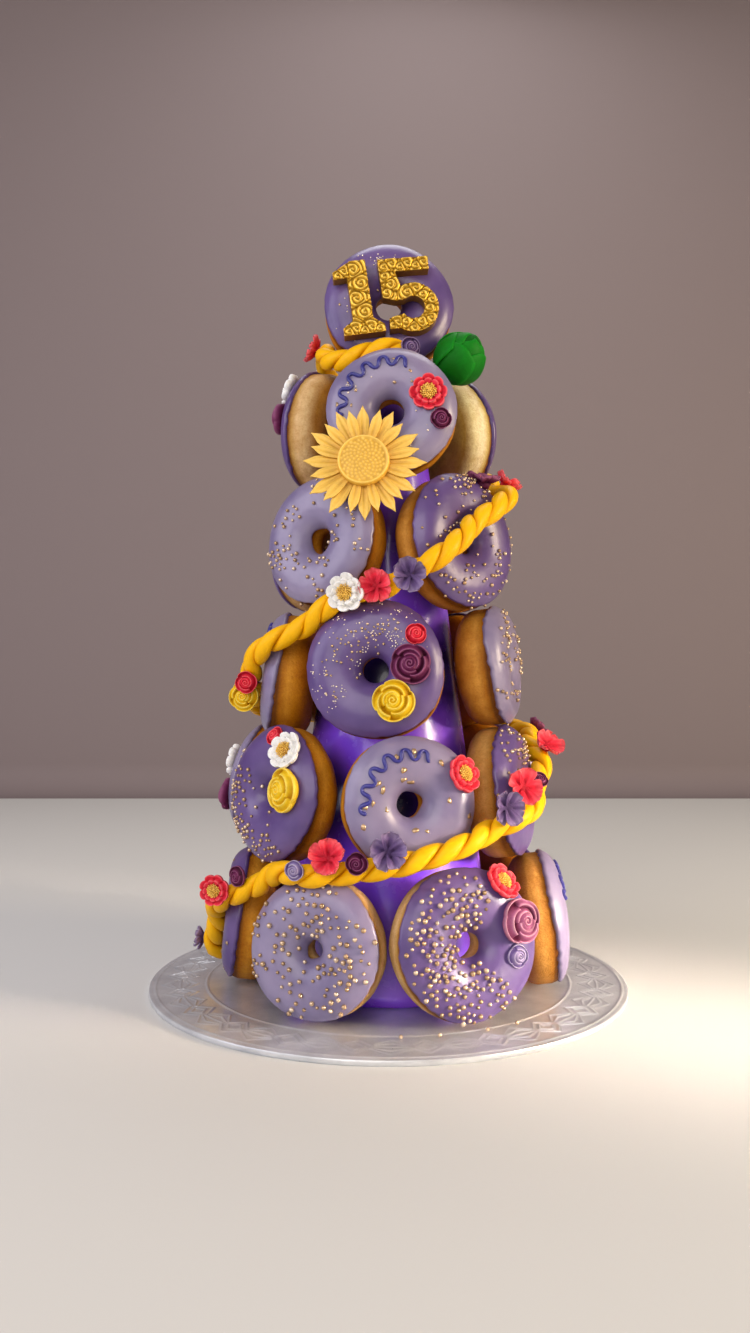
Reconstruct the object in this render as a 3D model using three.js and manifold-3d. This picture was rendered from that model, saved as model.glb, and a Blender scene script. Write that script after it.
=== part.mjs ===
// A celebration tower of ring doughnuts that face outwards in tiers round a cone on a round board.
// A twisted sugar-paste rope winds down it, with moulded flowers, a gold sunflower and gold numerals.
// Millimetres, +Z up, -Y to the front. The origin is the middle of the board's underside.

import * as THREE from 'three';
import { mergeVertices } from 'three/addons/utils/BufferGeometryUtils.js';
import Module from 'manifold-3d';

const wasm = await Module();
wasm.setup();

// Driving dimensions

const GAP = 0.3; // air between pieces that touch
const BOARD = { diameter: 305, thickness: 4, edge: 1, sides: 56 };
const CONE = { baseRadius: 70, tipRadius: 20, height: 380, shoulder: 5, sides: 28 };
const RING = { thickness: 31, squareness: 2.4, lean: 6, sides: 14, tubeSides: 8 };
const PEARL = { radius: 1.8, rimMargin: 7, holeMargin: 6 };
const ROPE = { halfWidth: 6.8, halfHeight: 4.8, pitch: 35, stepsPerPitch: 5, bend: 32, lay: 9 };
const FLOWER_SUNK = 1.2; // how far a flower on icing is pressed in

// Colours, and roughness and metalness where they differ from sugar paste

const PASTE = { roughness: 0.55, metalness: 0 };
const FINISH = {
  foil: { color: 0xc9c8cc, roughness: 0.3, metalness: 0.8 },
  film: { color: 0x5b2c9c, roughness: 0.2, metalness: 0.2 },
  lilac: { color: 0xa9a0cf, roughness: 0.3, metalness: 0 },
  violet: { color: 0x7560b4, roughness: 0.3, metalness: 0 },
  rope: { color: 0xf0b310, ...PASTE },
  coral: { color: 0xe0475a, ...PASTE },
  plum: { color: 0x7a3a6a, ...PASTE },
  purple: { color: 0x6f5a94, ...PASTE },
  orchid: { color: 0x9a88b8, ...PASTE },
  yellow: { color: 0xe6c040, ...PASTE },
  white: { color: 0xf2efe8, ...PASTE },
  green: { color: 0x117a1c, ...PASTE },
  sun: { color: 0xe0b040, ...PASTE },
  gold: { color: 0xb98a2a, roughness: 0.35, metalness: 0.8 },
};

// The tiers from the board up: the ring that the doughnuts' centres lie on, and its height.
// The first tier stands on the board, so its doughnuts find their own height.

const TIERS = {
  1: { radius: 98 },
  2: { radius: 84, height: 127 },
  3: { radius: 71, height: 202 },
  4: { radius: 59.5, height: 280 },
  5: { radius: 49, height: 359 },
  6: { radius: 2, height: 435 },
};

// Azimuth runs from the front towards +X, in degrees. turn is how far a doughnut faces away from
// straight out, out and lift move it from its tier's ring. A flower's clock is degrees clockwise
// from the top, seen from the front, and reach its distance from the doughnut's axis.

const DOUGHNUTS = [
  { tier: 1, azimuth: -24, size: 81, hole: 10, icing: 'lilac', pearls: 7 },
  {
    tier: 1, azimuth: 24, out: 2, size: 87, hole: 15, icing: 'violet', pearls: 7,
    flowers: [
      { kind: 'gilded', size: 22, clock: 32, reach: 39 },
      { kind: 'rose', size: 26, clock: 68, reach: 31 },
      { kind: 'rose', size: 13, clock: 106, reach: 27 },
    ],
  },
  { tier: 1, azimuth: 78, turn: 9, out: -2, size: 84, hole: 15, icing: 'lilac' },
  { tier: 1, azimuth: 127, size: 82, hole: 14, icing: 'violet', pearls: 3 },
  {
    tier: 1, azimuth: 177, size: 83, hole: 14, icing: 'lilac',
    flowers: [
      { kind: 'gilded', size: 21, clock: -40, reach: 27 },
      { kind: 'rose', size: 22, clock: -85, reach: 27 },
    ],
  },
  { tier: 1, azimuth: 226, size: 82, hole: 15, icing: 'violet', pearls: 3 },
  { tier: 1, azimuth: 275, out: -10, size: 84, hole: 14, icing: 'violet' },

  {
    tier: 2, azimuth: -48, turn: -2, lift: 1, size: 82, hole: 14, icing: 'violet', pearls: 5,
    flowers: [
      { kind: 'gilded', size: 22, clock: 34, reach: 32 },
      { kind: 'rose', size: 26, clock: 81, reach: 24 },
      { kind: 'rose', size: 12, clock: 8, reach: 34 },
    ],
  },
  {
    tier: 2, azimuth: 6.5, turn: 7, lift: -1, size: 78, hole: 15, icing: 'lilac',
    flowers: [{ kind: 'gilded', size: 22, clock: 61, reach: 33 }],
  },
  { tier: 2, azimuth: 63, turn: 8, out: -7, size: 82, hole: 14, icing: 'violet', pearls: 4 },
  { tier: 2, azimuth: 125, size: 80, hole: 14, icing: 'lilac', pearls: 3 },
  {
    tier: 2, azimuth: 187, size: 81, hole: 15, icing: 'violet',
    flowers: [
      { kind: 'rose', size: 23, clock: -60, reach: 26 },
      { kind: 'gilded', size: 21, clock: 40, reach: 28 },
    ],
  },
  {
    tier: 2, azimuth: 250, size: 80, hole: 14, icing: 'lilac',
    flowers: [
      { kind: 'gilded', size: 21, clock: 58, reach: 27 },
      { kind: 'rose', size: 22, clock: 108, reach: 26 },
    ],
  },

  {
    tier: 3, azimuth: -6, size: 82, hole: 15, icing: 'violet',
    flowers: [
      { kind: 'rose', size: 13, clock: 50, reach: 31 },
      { kind: 'rose', size: 24, clock: 83, reach: 22 },
      { kind: 'rose', size: 25, clock: 148, reach: 22 },
    ],
  },
  { tier: 3, azimuth: 64, turn: 9, out: -2, lift: 3, size: 75, hole: 14, icing: 'lilac', pearls: 5 },
  {
    tier: 3, azimuth: 138, size: 80, hole: 14, icing: 'violet',
    flowers: [
      { kind: 'rose', size: 22, clock: -30, reach: 26 },
      { kind: 'rose', size: 13, clock: 20, reach: 28 },
    ],
  },
  { tier: 3, azimuth: 212, size: 79, hole: 14, icing: 'lilac', pearls: 3 },
  { tier: 3, azimuth: 286, turn: -14, out: -7, lift: -3, size: 80, hole: 14, icing: 'lilac' },

  { tier: 4, azimuth: -38, turn: 3, out: 1, size: 80, hole: 16, icing: 'lilac', pearls: 5 },
  { tier: 4, azimuth: 41, turn: 1, out: 1, size: 84, hole: 15, icing: 'violet', pearls: 6 },
  {
    tier: 4, azimuth: 135, size: 80, hole: 15, icing: 'lilac',
    flowers: [{ kind: 'gilded', size: 21, clock: -35, reach: 27 }],
  },
  { tier: 4, azimuth: 228, size: 81, hole: 15, icing: 'violet', pearls: 3 },

  {
    tier: 5, azimuth: 2, turn: -6, lift: -2, size: 79, hole: 16, icing: 'lilac',
    flowers: [
      { kind: 'gilded', size: 22, clock: 71, reach: 24 },
      { kind: 'rose', size: 13, clock: 105, reach: 30 },
    ],
  },
  {
    tier: 5, azimuth: 122, size: 77, hole: 15, icing: 'violet',
    flowers: [{ kind: 'gilded', size: 21, clock: 50, reach: 27 }],
  },
  {
    tier: 5, azimuth: 246, out: -2, lift: 2, size: 79, hole: 15, icing: 'violet',
    flowers: [
      { kind: 'gilded', size: 21, clock: 42, reach: 31 },
      { kind: 'rose', size: 22, clock: 82, reach: 26 },
    ],
  },

  { tier: 6, azimuth: 2, size: 84, hole: 16, icing: 'violet' },
];

// The rope's route: azimuth, counted on round the tower as it winds down, and height.
// It is laid in lengths that meet under flowers, at these azimuths.

const ROPE_ROUTE = [
  [22, 403], [-10, 404], [-35, 400], [-60, 399], [-80, 403], [-105, 411], [-145, 397], [-165, 380],
  [-190, 362], [-225, 340], [-250, 327], [-272, 316], [-290, 312], [-302, 306], [-310, 299],
  [-320, 292], [-332, 279], [-346, 264], [-362, 251], [-377, 247], [-387, 239], [-396, 230],
  [-407, 221], [-419, 210], [-428, 198], [-440, 187], [-456, 180], [-490, 174], [-540, 167],
  [-590, 163], [-616, 158], [-630, 150], [-642, 140], [-654, 128], [-668, 121], [-680, 115],
  [-693, 107], [-721, 94], [-741, 88], [-757, 87], [-770, 76], [-785, 63], [-800, 50], [-812, 26],
  [-818, 14],
];
const ROPE_JOINTS = [22, -274, -436, -630, -818];

// A flower's azimuth is where it sits on the rope. turn and lean are how far it faces from straight
// out, sideways and upwards, out and rise how far outside and above the rope's middle it sits, and
// off how far off the rope it stands, where it lies on a doughnut.

const ROPE_FLOWERS = [
  { name: 'top_rose', kind: 'rose', colour: 'purple', size: 13, azimuth: 21 },
  { name: 'top_left', kind: 'blossom', colour: 'coral', size: 20, azimuth: -112, turn: 22, lean: 30 },
  { name: 'back_high', kind: 'gilded', colour: 'white', size: 21, azimuth: -178, off: 0.8 },
  {
    name: 'right_high_plum', kind: 'blossom', colour: 'plum', size: 22,
    azimuth: -305, out: -13, off: 4.5, lean: 84,
  },
  { name: 'right_high_coral', kind: 'blossom', colour: 'coral', size: 20, azimuth: -279, turn: 4, lean: 50 },
  { name: 'centre_purple', kind: 'blossom', colour: 'purple', size: 21, azimuth: -353.5 },
  { name: 'centre_coral', kind: 'blossom', colour: 'coral', size: 21, azimuth: -365, rise: 1.5 },
  { name: 'centre_white', kind: 'gilded', colour: 'white', size: 22, azimuth: -377 },
  { name: 'left_coral', kind: 'rose', colour: 'coral', size: 14, azimuth: -428, turn: 62, rise: -3 },
  { name: 'left_yellow', kind: 'rose', colour: 'yellow', size: 19, azimuth: -437, turn: 66, rise: -3 },
  { name: 'back_low_coral', kind: 'blossom', colour: 'coral', size: 20, azimuth: -533 },
  { name: 'back_low_yellow', kind: 'rose', colour: 'yellow', size: 19, azimuth: -547 },
  {
    name: 'right_low_plum', kind: 'blossom', colour: 'plum', size: 19,
    azimuth: -607, turn: 6, rise: -2, lean: 15,
  },
  {
    name: 'right_low_coral', kind: 'blossom', colour: 'coral', size: 21,
    azimuth: -633, turn: -45, lean: 40,
  },
  { name: 'right_low_rose', kind: 'rose', colour: 'plum', size: 11, azimuth: -653, turn: -50, lean: 40 },
  {
    name: 'front_coral', kind: 'blossom', colour: 'coral', size: 23,
    azimuth: -674, turn: -22, rise: 16, lean: 20,
  },
  { name: 'front_purple', kind: 'blossom', colour: 'purple', size: 22, azimuth: -683, turn: -16, rise: 11 },
  { name: 'low_purple', kind: 'blossom', colour: 'purple', size: 22, azimuth: -721, rise: 8, lean: 12 },
  { name: 'low_plum', kind: 'rose', colour: 'plum', size: 13, azimuth: -729, rise: 6 },
  { name: 'low_coral', kind: 'blossom', colour: 'coral', size: 22, azimuth: -738, rise: 8, lean: 25 },
  { name: 'low_orchid', kind: 'rose', colour: 'orchid', size: 12, azimuth: -747, rise: 4 },
  { name: 'low_left_plum', kind: 'rose', colour: 'plum', size: 13, azimuth: -775, turn: 14, rise: 9 },
  { name: 'low_left_coral', kind: 'gilded', colour: 'coral', size: 19, azimuth: -785, turn: 48, rise: 8 },
  { name: 'end_purple', kind: 'blossom', colour: 'purple', size: 16, azimuth: -814, rise: 4 },
];

// The gold sunflower, the green bud and the numerals, by the middle of the back of each.
// The numerals' places are on the top doughnut's face: right of its axis and up from it.

const SUNFLOWER = {
  centre: [-15, -72.4, 324], azimuth: -3, lean: 12,
  petals: 12, tip: 37, notch: 30, disc: 15.5, petalThickness: 3.5, discThickness: 7,
};
const BUD = { centre: [37, -14, 389], radius: 17, height: 34, lobes: 5, azimuth: 38, lean: 38 };
const NUMERALS = { height: 48, depth: 9, azimuth: 2, standOff: 0.5 };
const NUMERAL_ONE = { right: -28.5, up: -26.5, roll: 8 };
const NUMERAL_FIVE = { right: -4, up: -24, roll: 5 };

// Solids

const degrees = THREE.MathUtils.degToRad;

function solidFrom(geometry) {
  const bare = new THREE.BufferGeometry();
  bare.setAttribute('position', geometry.getAttribute('position'));
  bare.setIndex(geometry.getIndex());
  const merged = mergeVertices(bare, 1e-3);
  return new wasm.Manifold(new wasm.Mesh({
    numProp: 3,
    vertProperties: merged.getAttribute('position').array,
    triVerts: new Uint32Array(merged.getIndex().array),
  }));
}

function geometryFrom(solid) {
  const mesh = solid.getMesh();
  const geometry = new THREE.BufferGeometry();
  geometry.setAttribute('position', new THREE.BufferAttribute(mesh.vertProperties, 3));
  geometry.setIndex(new THREE.BufferAttribute(mesh.triVerts, 1));
  return geometry;
}

// The geometries joined into one, each of which meets the first
function fused(geometries) {
  if (geometries.length === 1) return geometries[0];
  return geometryFrom(geometries.map(solidFrom).reduce((whole, piece) => whole.add(piece)));
}

// A closed surface through rings of points, each ring anticlockwise about the way the rings run.
// A ring of one point is a pole.
function loft(rings) {
  const index = [];
  let start = 0;
  rings.slice(1).forEach((next, k) => {
    const ring = rings[k];
    const sides = Math.max(ring.length, next.length);
    const low = (i) => start + (i % ring.length);
    const high = (i) => start + ring.length + (i % next.length);
    for (let i = 0; i < sides; i++) {
      if (ring.length > 1) index.push(low(i), low(i + 1), high(i));
      if (next.length > 1) index.push(low(i + 1), high(i + 1), high(i));
    }
    start += ring.length;
  });
  return new THREE.BufferGeometry().setFromPoints(rings.flat()).setIndex(index);
}

// A level ring whose radius follows a rule of the turn, from 0 to 1
function level(sides, height, radiusAt) {
  return Array.from({ length: sides }, (_, i) => {
    const angle = (2 * Math.PI * i) / sides;
    const radius = radiusAt(i / sides);
    return new THREE.Vector3(radius * Math.cos(angle), radius * Math.sin(angle), height);
  });
}

const pole = (height) => [new THREE.Vector3(0, 0, height)];
const lathe = (points, sides) => new THREE.LatheGeometry(
  points.map(([radius, along]) => new THREE.Vector2(radius, along)), sides);

function piece(name, geometry, finish) {
  const mesh = new THREE.Mesh(geometry, new THREE.MeshStandardMaterial(FINISH[finish]));
  mesh.name = name;
  return mesh;
}

// The board and the cone

function boardGeometry() {
  const { thickness, edge, sides } = BOARD;
  const radius = BOARD.diameter / 2;
  const profile = [
    [0, 0], [radius, 0], [radius, thickness - edge], [radius - edge, thickness], [0, thickness],
  ];
  return lathe(profile, sides).rotateX(Math.PI / 2);
}

function coneGeometry() {
  const { baseRadius, tipRadius, height, shoulder, sides } = CONE;
  const profile = [
    [0, 0], [baseRadius, 0], [tipRadius, height - shoulder], [tipRadius - shoulder, height], [0, height],
  ];
  return lathe(profile, sides).rotateX(Math.PI / 2).translate(0, 0, BOARD.thickness + GAP);
}

// Doughnuts: a ring about its own Y axis, with the icing to -Y

const signedPower = (value, power) => Math.sign(value) * Math.abs(value) ** power;

// The tube's middle radius, its half width and its half thickness
function tubeOf({ size, hole }) {
  return { middle: (size + hole) / 4, half: (size - hole) / 4, deep: RING.thickness / 2 };
}

function ringGeometry(doughnut) {
  const { middle, half, deep } = tubeOf(doughnut);
  const profile = Array.from({ length: RING.tubeSides + 1 }, (_, k) => {
    const angle = (2 * Math.PI * k) / RING.tubeSides;
    return [
      middle + half * signedPower(Math.cos(angle), 2 / RING.squareness),
      deep * signedPower(Math.sin(angle), 2 / RING.squareness),
    ];
  });
  return lathe(profile, RING.sides);
}

// The frame of a spot on the iced face: +Z out of the icing, +Y away from the doughnut's axis.
// It lies on the flat facet there, a little inside the true round surface.
function spotOnFace(doughnut, clock, reach, sunk) {
  const { middle, half, deep } = tubeOf(doughnut);
  const n = RING.squareness;
  const across = (reach - middle) / half;
  const along = (1 - Math.abs(across) ** n) ** (1 / n);
  const outwards = signedPower(across, n - 1) / half;
  const forwards = along ** (n - 1) / deep;
  const angle = degrees(clock);
  const radial = new THREE.Vector3(Math.sin(angle), 0, Math.cos(angle));
  const front = new THREE.Vector3(0, -1, 0);
  const normal = radial.clone().multiplyScalar(outwards).addScaledVector(front, forwards).normalize();
  const away = radial.clone().addScaledVector(normal, -radial.dot(normal)).normalize();
  const right = new THREE.Vector3().crossVectors(away, normal);
  const above = radial.multiplyScalar(reach).addScaledVector(front, deep * along + 1);
  const ray = new THREE.Raycaster(above, normal.clone().negate());
  const place = ray.intersectObject(new THREE.Mesh(ringGeometry(doughnut)))[0].point;
  place.addScaledVector(normal, -sunk);
  return new THREE.Matrix4().makeBasis(right, away, normal).setPosition(place);
}

// Pearls spread over the face by the golden angle, half sunk
function pearlsOn(doughnut) {
  const golden = 137.5;
  const count = doughnut.pearls ?? 0;
  const inner = doughnut.hole / 2 + PEARL.holeMargin;
  const outer = doughnut.size / 2 - PEARL.rimMargin;
  return Array.from({ length: count }, (_, i) => {
    const share = (i + 0.5) / count;
    const reach = Math.sqrt(inner ** 2 + share * (outer ** 2 - inner ** 2));
    const pearl = new THREE.OctahedronGeometry(PEARL.radius);
    return pearl.applyMatrix4(spotOnFace(doughnut, golden * i + doughnut.azimuth, reach, 0));
  });
}

function flowersOn(doughnut) {
  return (doughnut.flowers ?? []).map(({ kind, size, clock, reach }) =>
    FLOWERS[kind](size).applyMatrix4(spotOnFace(doughnut, clock, reach, FLOWER_SUNK)));
}

// How far a leaning doughnut reaches below its centre
function reachBelow(doughnut) {
  const { middle, half, deep } = tubeOf(doughnut);
  const lean = degrees(RING.lean);
  return middle * Math.cos(lean) + Math.hypot(half * Math.cos(lean), deep * Math.sin(lean));
}

// The place of a doughnut: round the tower, out from its axis, then leaning back to face up a little
function seatOf(doughnut) {
  const { tier, azimuth, turn = 0, out = 0, lift = 0 } = doughnut;
  const standing = BOARD.thickness + GAP + reachBelow(doughnut);
  const round = new THREE.Group();
  round.rotation.z = degrees(azimuth);
  const seat = new THREE.Group();
  seat.position.set(0, -(TIERS[tier].radius + out), (TIERS[tier].height ?? standing) + lift);
  seat.rotation.set(-degrees(RING.lean), 0, degrees(turn));
  round.add(seat);
  round.updateMatrixWorld(true);
  return { round, seat };
}

// Flowers stand on z = 0 and face +Z

const petalled = (lobes, tip, notch) => (turn) =>
  THREE.MathUtils.lerp(notch, tip, 0.5 + 0.5 * Math.cos(2 * Math.PI * lobes * turn));

// A flower's flat back and the height of its rim, in shares of half its size
const BACK = { reach: 0.8, depth: 0.3 };

const FLOWERS = {
  // five broad petals that rise to their tips
  blossom(size) {
    const tip = size / 2;
    const rim = petalled(5, tip, 0.66 * tip);
    return loft([
      pole(0), level(10, 0, (turn) => 0.6 * rim(turn)), level(10, 0.3 * tip, rim), pole(0.22 * tip),
    ]);
  },
  // a ruffled saucer with a raised centre
  gilded(size) {
    const tip = size / 2;
    const rim = petalled(6, tip, 0.82 * tip);
    return loft([
      pole(0), level(12, 0, (turn) => 0.7 * rim(turn)), level(12, 0.32 * tip, rim),
      level(12, 0.26 * tip, () => 0.42 * tip), pole(0.5 * tip),
    ]);
  },
  // a tight rolled bud with a dip in its top
  rose(size) {
    const tip = size / 2;
    return loft([
      pole(0), level(8, 0, () => 0.8 * tip), level(8, 0.3 * tip, petalled(4, tip, 0.93 * tip)),
      level(8, 0.62 * tip, () => 0.62 * tip), pole(0.5 * tip),
    ]);
  },
};

// The rope

// Distance from a point to a doughnut's surface, measured through the middle of its tube
function distanceTo({ tube, inverse }, point) {
  const { x, y, z } = point.clone().applyMatrix4(inverse);
  const across = Math.hypot(x, z) - tube.middle;
  const n = RING.squareness;
  const scale = (Math.abs(across / tube.half) ** n + Math.abs(y / tube.deep) ** n) ** (1 / n);
  return Math.hypot(across, y) * (1 - 1 / scale);
}

const onTower = (azimuth, radius, height) => new THREE.Vector3(
  radius * Math.sin(degrees(azimuth)), -radius * Math.cos(degrees(azimuth)), height);

// The radius at which a ball of the rope's size, coming in from outside, meets a doughnut,
// or the bottom of the notch between two tiers
function skinRadius(rings, azimuth, height) {
  const room = ROPE.halfWidth + 2 * GAP;
  const step = 0.5;
  const foot = TIERS[2];
  const head = TIERS[5];
  const slope = (head.radius - foot.radius) / (head.height - foot.height);
  const flank = foot.radius + slope * (height - foot.height) + ROPE.lay;
  const notch = height < head.height ? flank : CONE.tipRadius;
  let radius = BOARD.diameter / 2;
  while (radius > notch) {
    const point = onTower(azimuth, radius - step, height);
    if (rings.some((ring) => distanceTo(ring, point) < room)) return radius;
    radius -= step;
  }
  return notch;
}

// The rope's middle line: over the doughnuts' skin, bridging the gaps in arcs of its bending radius
function ropeLine(rings) {
  const samples = 420;
  const evened = 3; // samples to each side that the radius is averaged over
  const route = new THREE.CatmullRomCurve3(
    ROPE_ROUTE.map(([azimuth, height]) => new THREE.Vector3(azimuth, height, 0)), false, 'centripetal');
  const plan = route.getPoints(samples).map(({ x: azimuth, y: height }) =>
    ({ azimuth, height, radius: skinRadius(rings, azimuth, height) }));
  const skin = plan.map(({ azimuth, radius, height }) => onTower(azimuth, radius, height));
  const along = [0];
  skin.slice(1).forEach((point, i) => along.push(along[i] + point.distanceTo(skin[i])));
  const bridged = plan.map((_, i) => Math.max(...plan.map(({ radius }, j) =>
    radius - (along[i] - along[j]) ** 2 / (2 * ROPE.bend))));
  return plan.map(({ azimuth, height }, i) => {
    const near = bridged.slice(Math.max(0, i - evened), i + evened + 1);
    const radius = near.reduce((sum, value) => sum + value, 0) / near.length;
    return { azimuth, point: onTower(azimuth, radius, height) };
  });
}

// The way out of the tower that is square to the rope
function outOfRope(point, forward) {
  const outwards = new THREE.Vector3(point.x, point.y, 0).normalize();
  return outwards.addScaledVector(forward, -outwards.dot(forward)).normalize();
}

// A two-strand twist: an oval section that turns as it goes along
function ropeGeometry(points) {
  const line = new THREE.CatmullRomCurve3(points, false, 'centripetal');
  const length = line.getLength();
  const steps = Math.round((length / ROPE.pitch) * ROPE.stepsPerPitch);
  const sides = 6;
  const rings = Array.from({ length: steps + 1 }, (_, k) => {
    const share = k / steps;
    const middle = line.getPointAt(share);
    const forward = line.getTangentAt(share);
    const outwards = outOfRope(middle, forward);
    const across = new THREE.Vector3().crossVectors(forward, outwards);
    const twist = (-2 * Math.PI * share * length) / ROPE.pitch;
    return Array.from({ length: sides }, (_, i) => {
      const angle = (2 * Math.PI * i) / sides;
      const wide = ROPE.halfWidth * Math.cos(angle);
      const high = ROPE.halfHeight * Math.sin(angle);
      const radial = wide * Math.cos(twist) - high * Math.sin(twist);
      const tangential = wide * Math.sin(twist) + high * Math.cos(twist);
      return middle.clone().addScaledVector(outwards, radial).addScaledVector(across, tangential);
    });
  });
  return loft([[line.getPointAt(0)], ...rings, [line.getPointAt(1)]]);
}

function ropeLengths(line) {
  return ROPE_JOINTS.slice(1).map((end, k) => {
    const start = ROPE_JOINTS[k];
    const points = line.filter(({ azimuth }) => azimuth <= start && azimuth > end);
    return piece(`rope_length_${k + 1}`, ropeGeometry(points.map(({ point }) => point)), 'rope');
  });
}

// A frame whose +Z faces out from the tower, leaning up, with +X to the right
function facing(position, azimuth, lean) {
  const group = new THREE.Group();
  group.position.copy(position);
  group.rotation.z = degrees(azimuth);
  group.rotateX(Math.PI / 2 - degrees(lean));
  return group;
}

// How far out along its axis a flower sits so that its back and its rim clear the rope at a point
function liftOver(size, { x, y, z }) {
  const room = ROPE.halfWidth + 2 * GAP;
  const tip = size / 2;
  const bulge = (edge) => Math.sqrt(Math.max(0, room ** 2 - Math.max(0, Math.hypot(x, y) - edge) ** 2));
  return z + Math.max(bulge(BACK.reach * tip), bulge(tip) - BACK.depth * tip);
}

// A flower on the rope, pressed against what is under it
function ropeFlower(line, flower) {
  const { name, kind, colour, size, azimuth, turn = 0, lean = 0, out = 0, rise = 0, off = 0 } = flower;
  const nearest = line.reduce((best, spot) =>
    (Math.abs(spot.azimuth - azimuth) < Math.abs(best.azimuth - azimuth) ? spot : best));
  const centre = nearest.point.clone().add(onTower(azimuth, out, rise));
  const group = facing(centre, azimuth + turn, lean);
  group.updateMatrixWorld(true);
  const inverse = group.matrixWorld.clone().invert();
  const under = line.map(({ point }) => point.clone().applyMatrix4(inverse))
    .filter(({ x, y, z }) => Math.hypot(x, y) < size / 2 + ROPE.halfWidth && Math.abs(z) < size);
  const lift = Math.max(...under.map((point) => liftOver(size, point)));
  const mesh = piece(`flower_${name}`, FLOWERS[kind](size), colour);
  mesh.position.z = lift + off;
  group.add(mesh);
  return group;
}

// The sunflower, the bud and the numerals

function sunflower() {
  const { petals, tip, notch, disc, petalThickness, discThickness } = SUNFLOWER;
  const sides = 2 * petals;
  const outline = petalled(petals, tip, notch);
  const geometry = loft([
    pole(0), level(sides, 0, (turn) => 0.94 * outline(turn)), level(sides, petalThickness, outline),
    level(sides, petalThickness, () => disc + 1), level(sides, discThickness, () => disc),
    pole(discThickness + 1),
  ]);
  const group = facing(new THREE.Vector3(...SUNFLOWER.centre), SUNFLOWER.azimuth, SUNFLOWER.lean);
  group.add(piece('sunflower', geometry, 'sun'));
  return group;
}

function bud() {
  const { radius, height, lobes } = BUD;
  const sides = 2 * lobes;
  const swell = (share) => petalled(lobes, share * radius, 0.92 * share * radius);
  const geometry = loft([
    pole(0), level(sides, 0.06 * height, swell(0.6)), level(sides, 0.3 * height, swell(0.97)),
    level(sides, 0.55 * height, swell(1)), level(sides, 0.82 * height, swell(0.72)), pole(height),
  ]);
  const group = facing(new THREE.Vector3(...BUD.centre), BUD.azimuth, BUD.lean);
  group.add(piece('green_bud', geometry, 'green'));
  return group;
}

// A slab-footed 1 on a baseline, in shares of its height
function shapeOfOne(h) {
  const corners = [
    [0, 0], [0.55, 0], [0.55, 0.1], [0.41, 0.2], [0.41, 1], [0.2, 1], [-0.04, 0.87], [-0.04, 0.77],
    [0.14, 0.78], [0.14, 0.2], [0, 0.1],
  ];
  return new THREE.Shape(corners.map(([x, y]) => new THREE.Vector2(x * h, y * h)));
}

// A 5 with a flat bar, a short stem and a round bowl that hooks back to a blunt end
function shapeOfFive(h) {
  const bowl = { x: 0.42 * h, y: 0.32 * h, outer: 0.335 * h, inner: 0.15 * h };
  const shape = new THREE.Shape();
  shape.moveTo(0.67 * h, h);
  shape.lineTo(0, h);
  shape.lineTo(0.03 * h, 0.47 * h);
  shape.lineTo(0.2 * h, 0.42 * h);
  shape.absarc(bowl.x, bowl.y, bowl.inner, degrees(130), degrees(-150), true);
  shape.lineTo(0.09 * h, 0.19 * h);
  shape.lineTo(0.09 * h, 0.04 * h);
  shape.absarc(bowl.x, bowl.y, bowl.outer, degrees(-125), degrees(115), false);
  shape.lineTo(0.22 * h, 0.82 * h);
  shape.lineTo(0.67 * h, 0.82 * h);
  return shape;
}

// A numeral leans with the top doughnut's face and stands just in front of its icing
function numeral(name, shape, { right, up, roll }) {
  const { depth, azimuth, standOff } = NUMERALS;
  const geometry = new THREE.ExtrudeGeometry(shape, { depth, bevelEnabled: false, curveSegments: 8 });
  const mesh = piece(name, geometry, 'gold');
  mesh.position.set(right, up, RING.thickness / 2 + standOff);
  mesh.rotation.z = degrees(roll);
  const group = facing(onTower(azimuth, TIERS[6].radius, TIERS[6].height), azimuth, RING.lean);
  group.add(mesh);
  return group;
}

// The tower

const tower = new THREE.Group();
tower.add(piece('board', boardGeometry(), 'foil'), piece('cone', coneGeometry(), 'film'));

const rings = [];
const countInTier = {};
for (const doughnut of DOUGHNUTS) {
  const { tier, icing } = doughnut;
  countInTier[tier] = (countInTier[tier] ?? 0) + 1;
  const geometry = fused([ringGeometry(doughnut), ...flowersOn(doughnut), ...pearlsOn(doughnut)]);
  const { round, seat } = seatOf(doughnut);
  seat.add(piece(`doughnut_${tier}_${countInTier[tier]}`, geometry, icing));
  rings.push({ tube: tubeOf(doughnut), inverse: seat.matrixWorld.clone().invert() });
  tower.add(round);
}

const line = ropeLine(rings);
tower.add(...ropeLengths(line), ...ROPE_FLOWERS.map((flower) => ropeFlower(line, flower)));
tower.add(sunflower(), bud());
tower.add(numeral('numeral_one', shapeOfOne(NUMERALS.height), NUMERAL_ONE));
tower.add(numeral('numeral_five', shapeOfFive(NUMERALS.height), NUMERAL_FIVE));

export default tower;
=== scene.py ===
"""Looks of a doughnut tower: dough, icing, toppings, sugar rope, flowers, numerals, cone and board.

Sizes are in millimetres, as in the solids, and become metres when a piece is made. +Z is up and -Y is
the front. Azimuth runs from the front towards +X, in degrees. On a doughnut's iced face, clock is
degrees clockwise from the top and reach is the distance from the axis.
"""
from math import cos, hypot, pi, radians, sin, tau
from types import SimpleNamespace as Values

import bmesh
import bpy
import numpy as np
from mathutils import Matrix, Vector
from mathutils.geometry import tessellate_polygon

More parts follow.
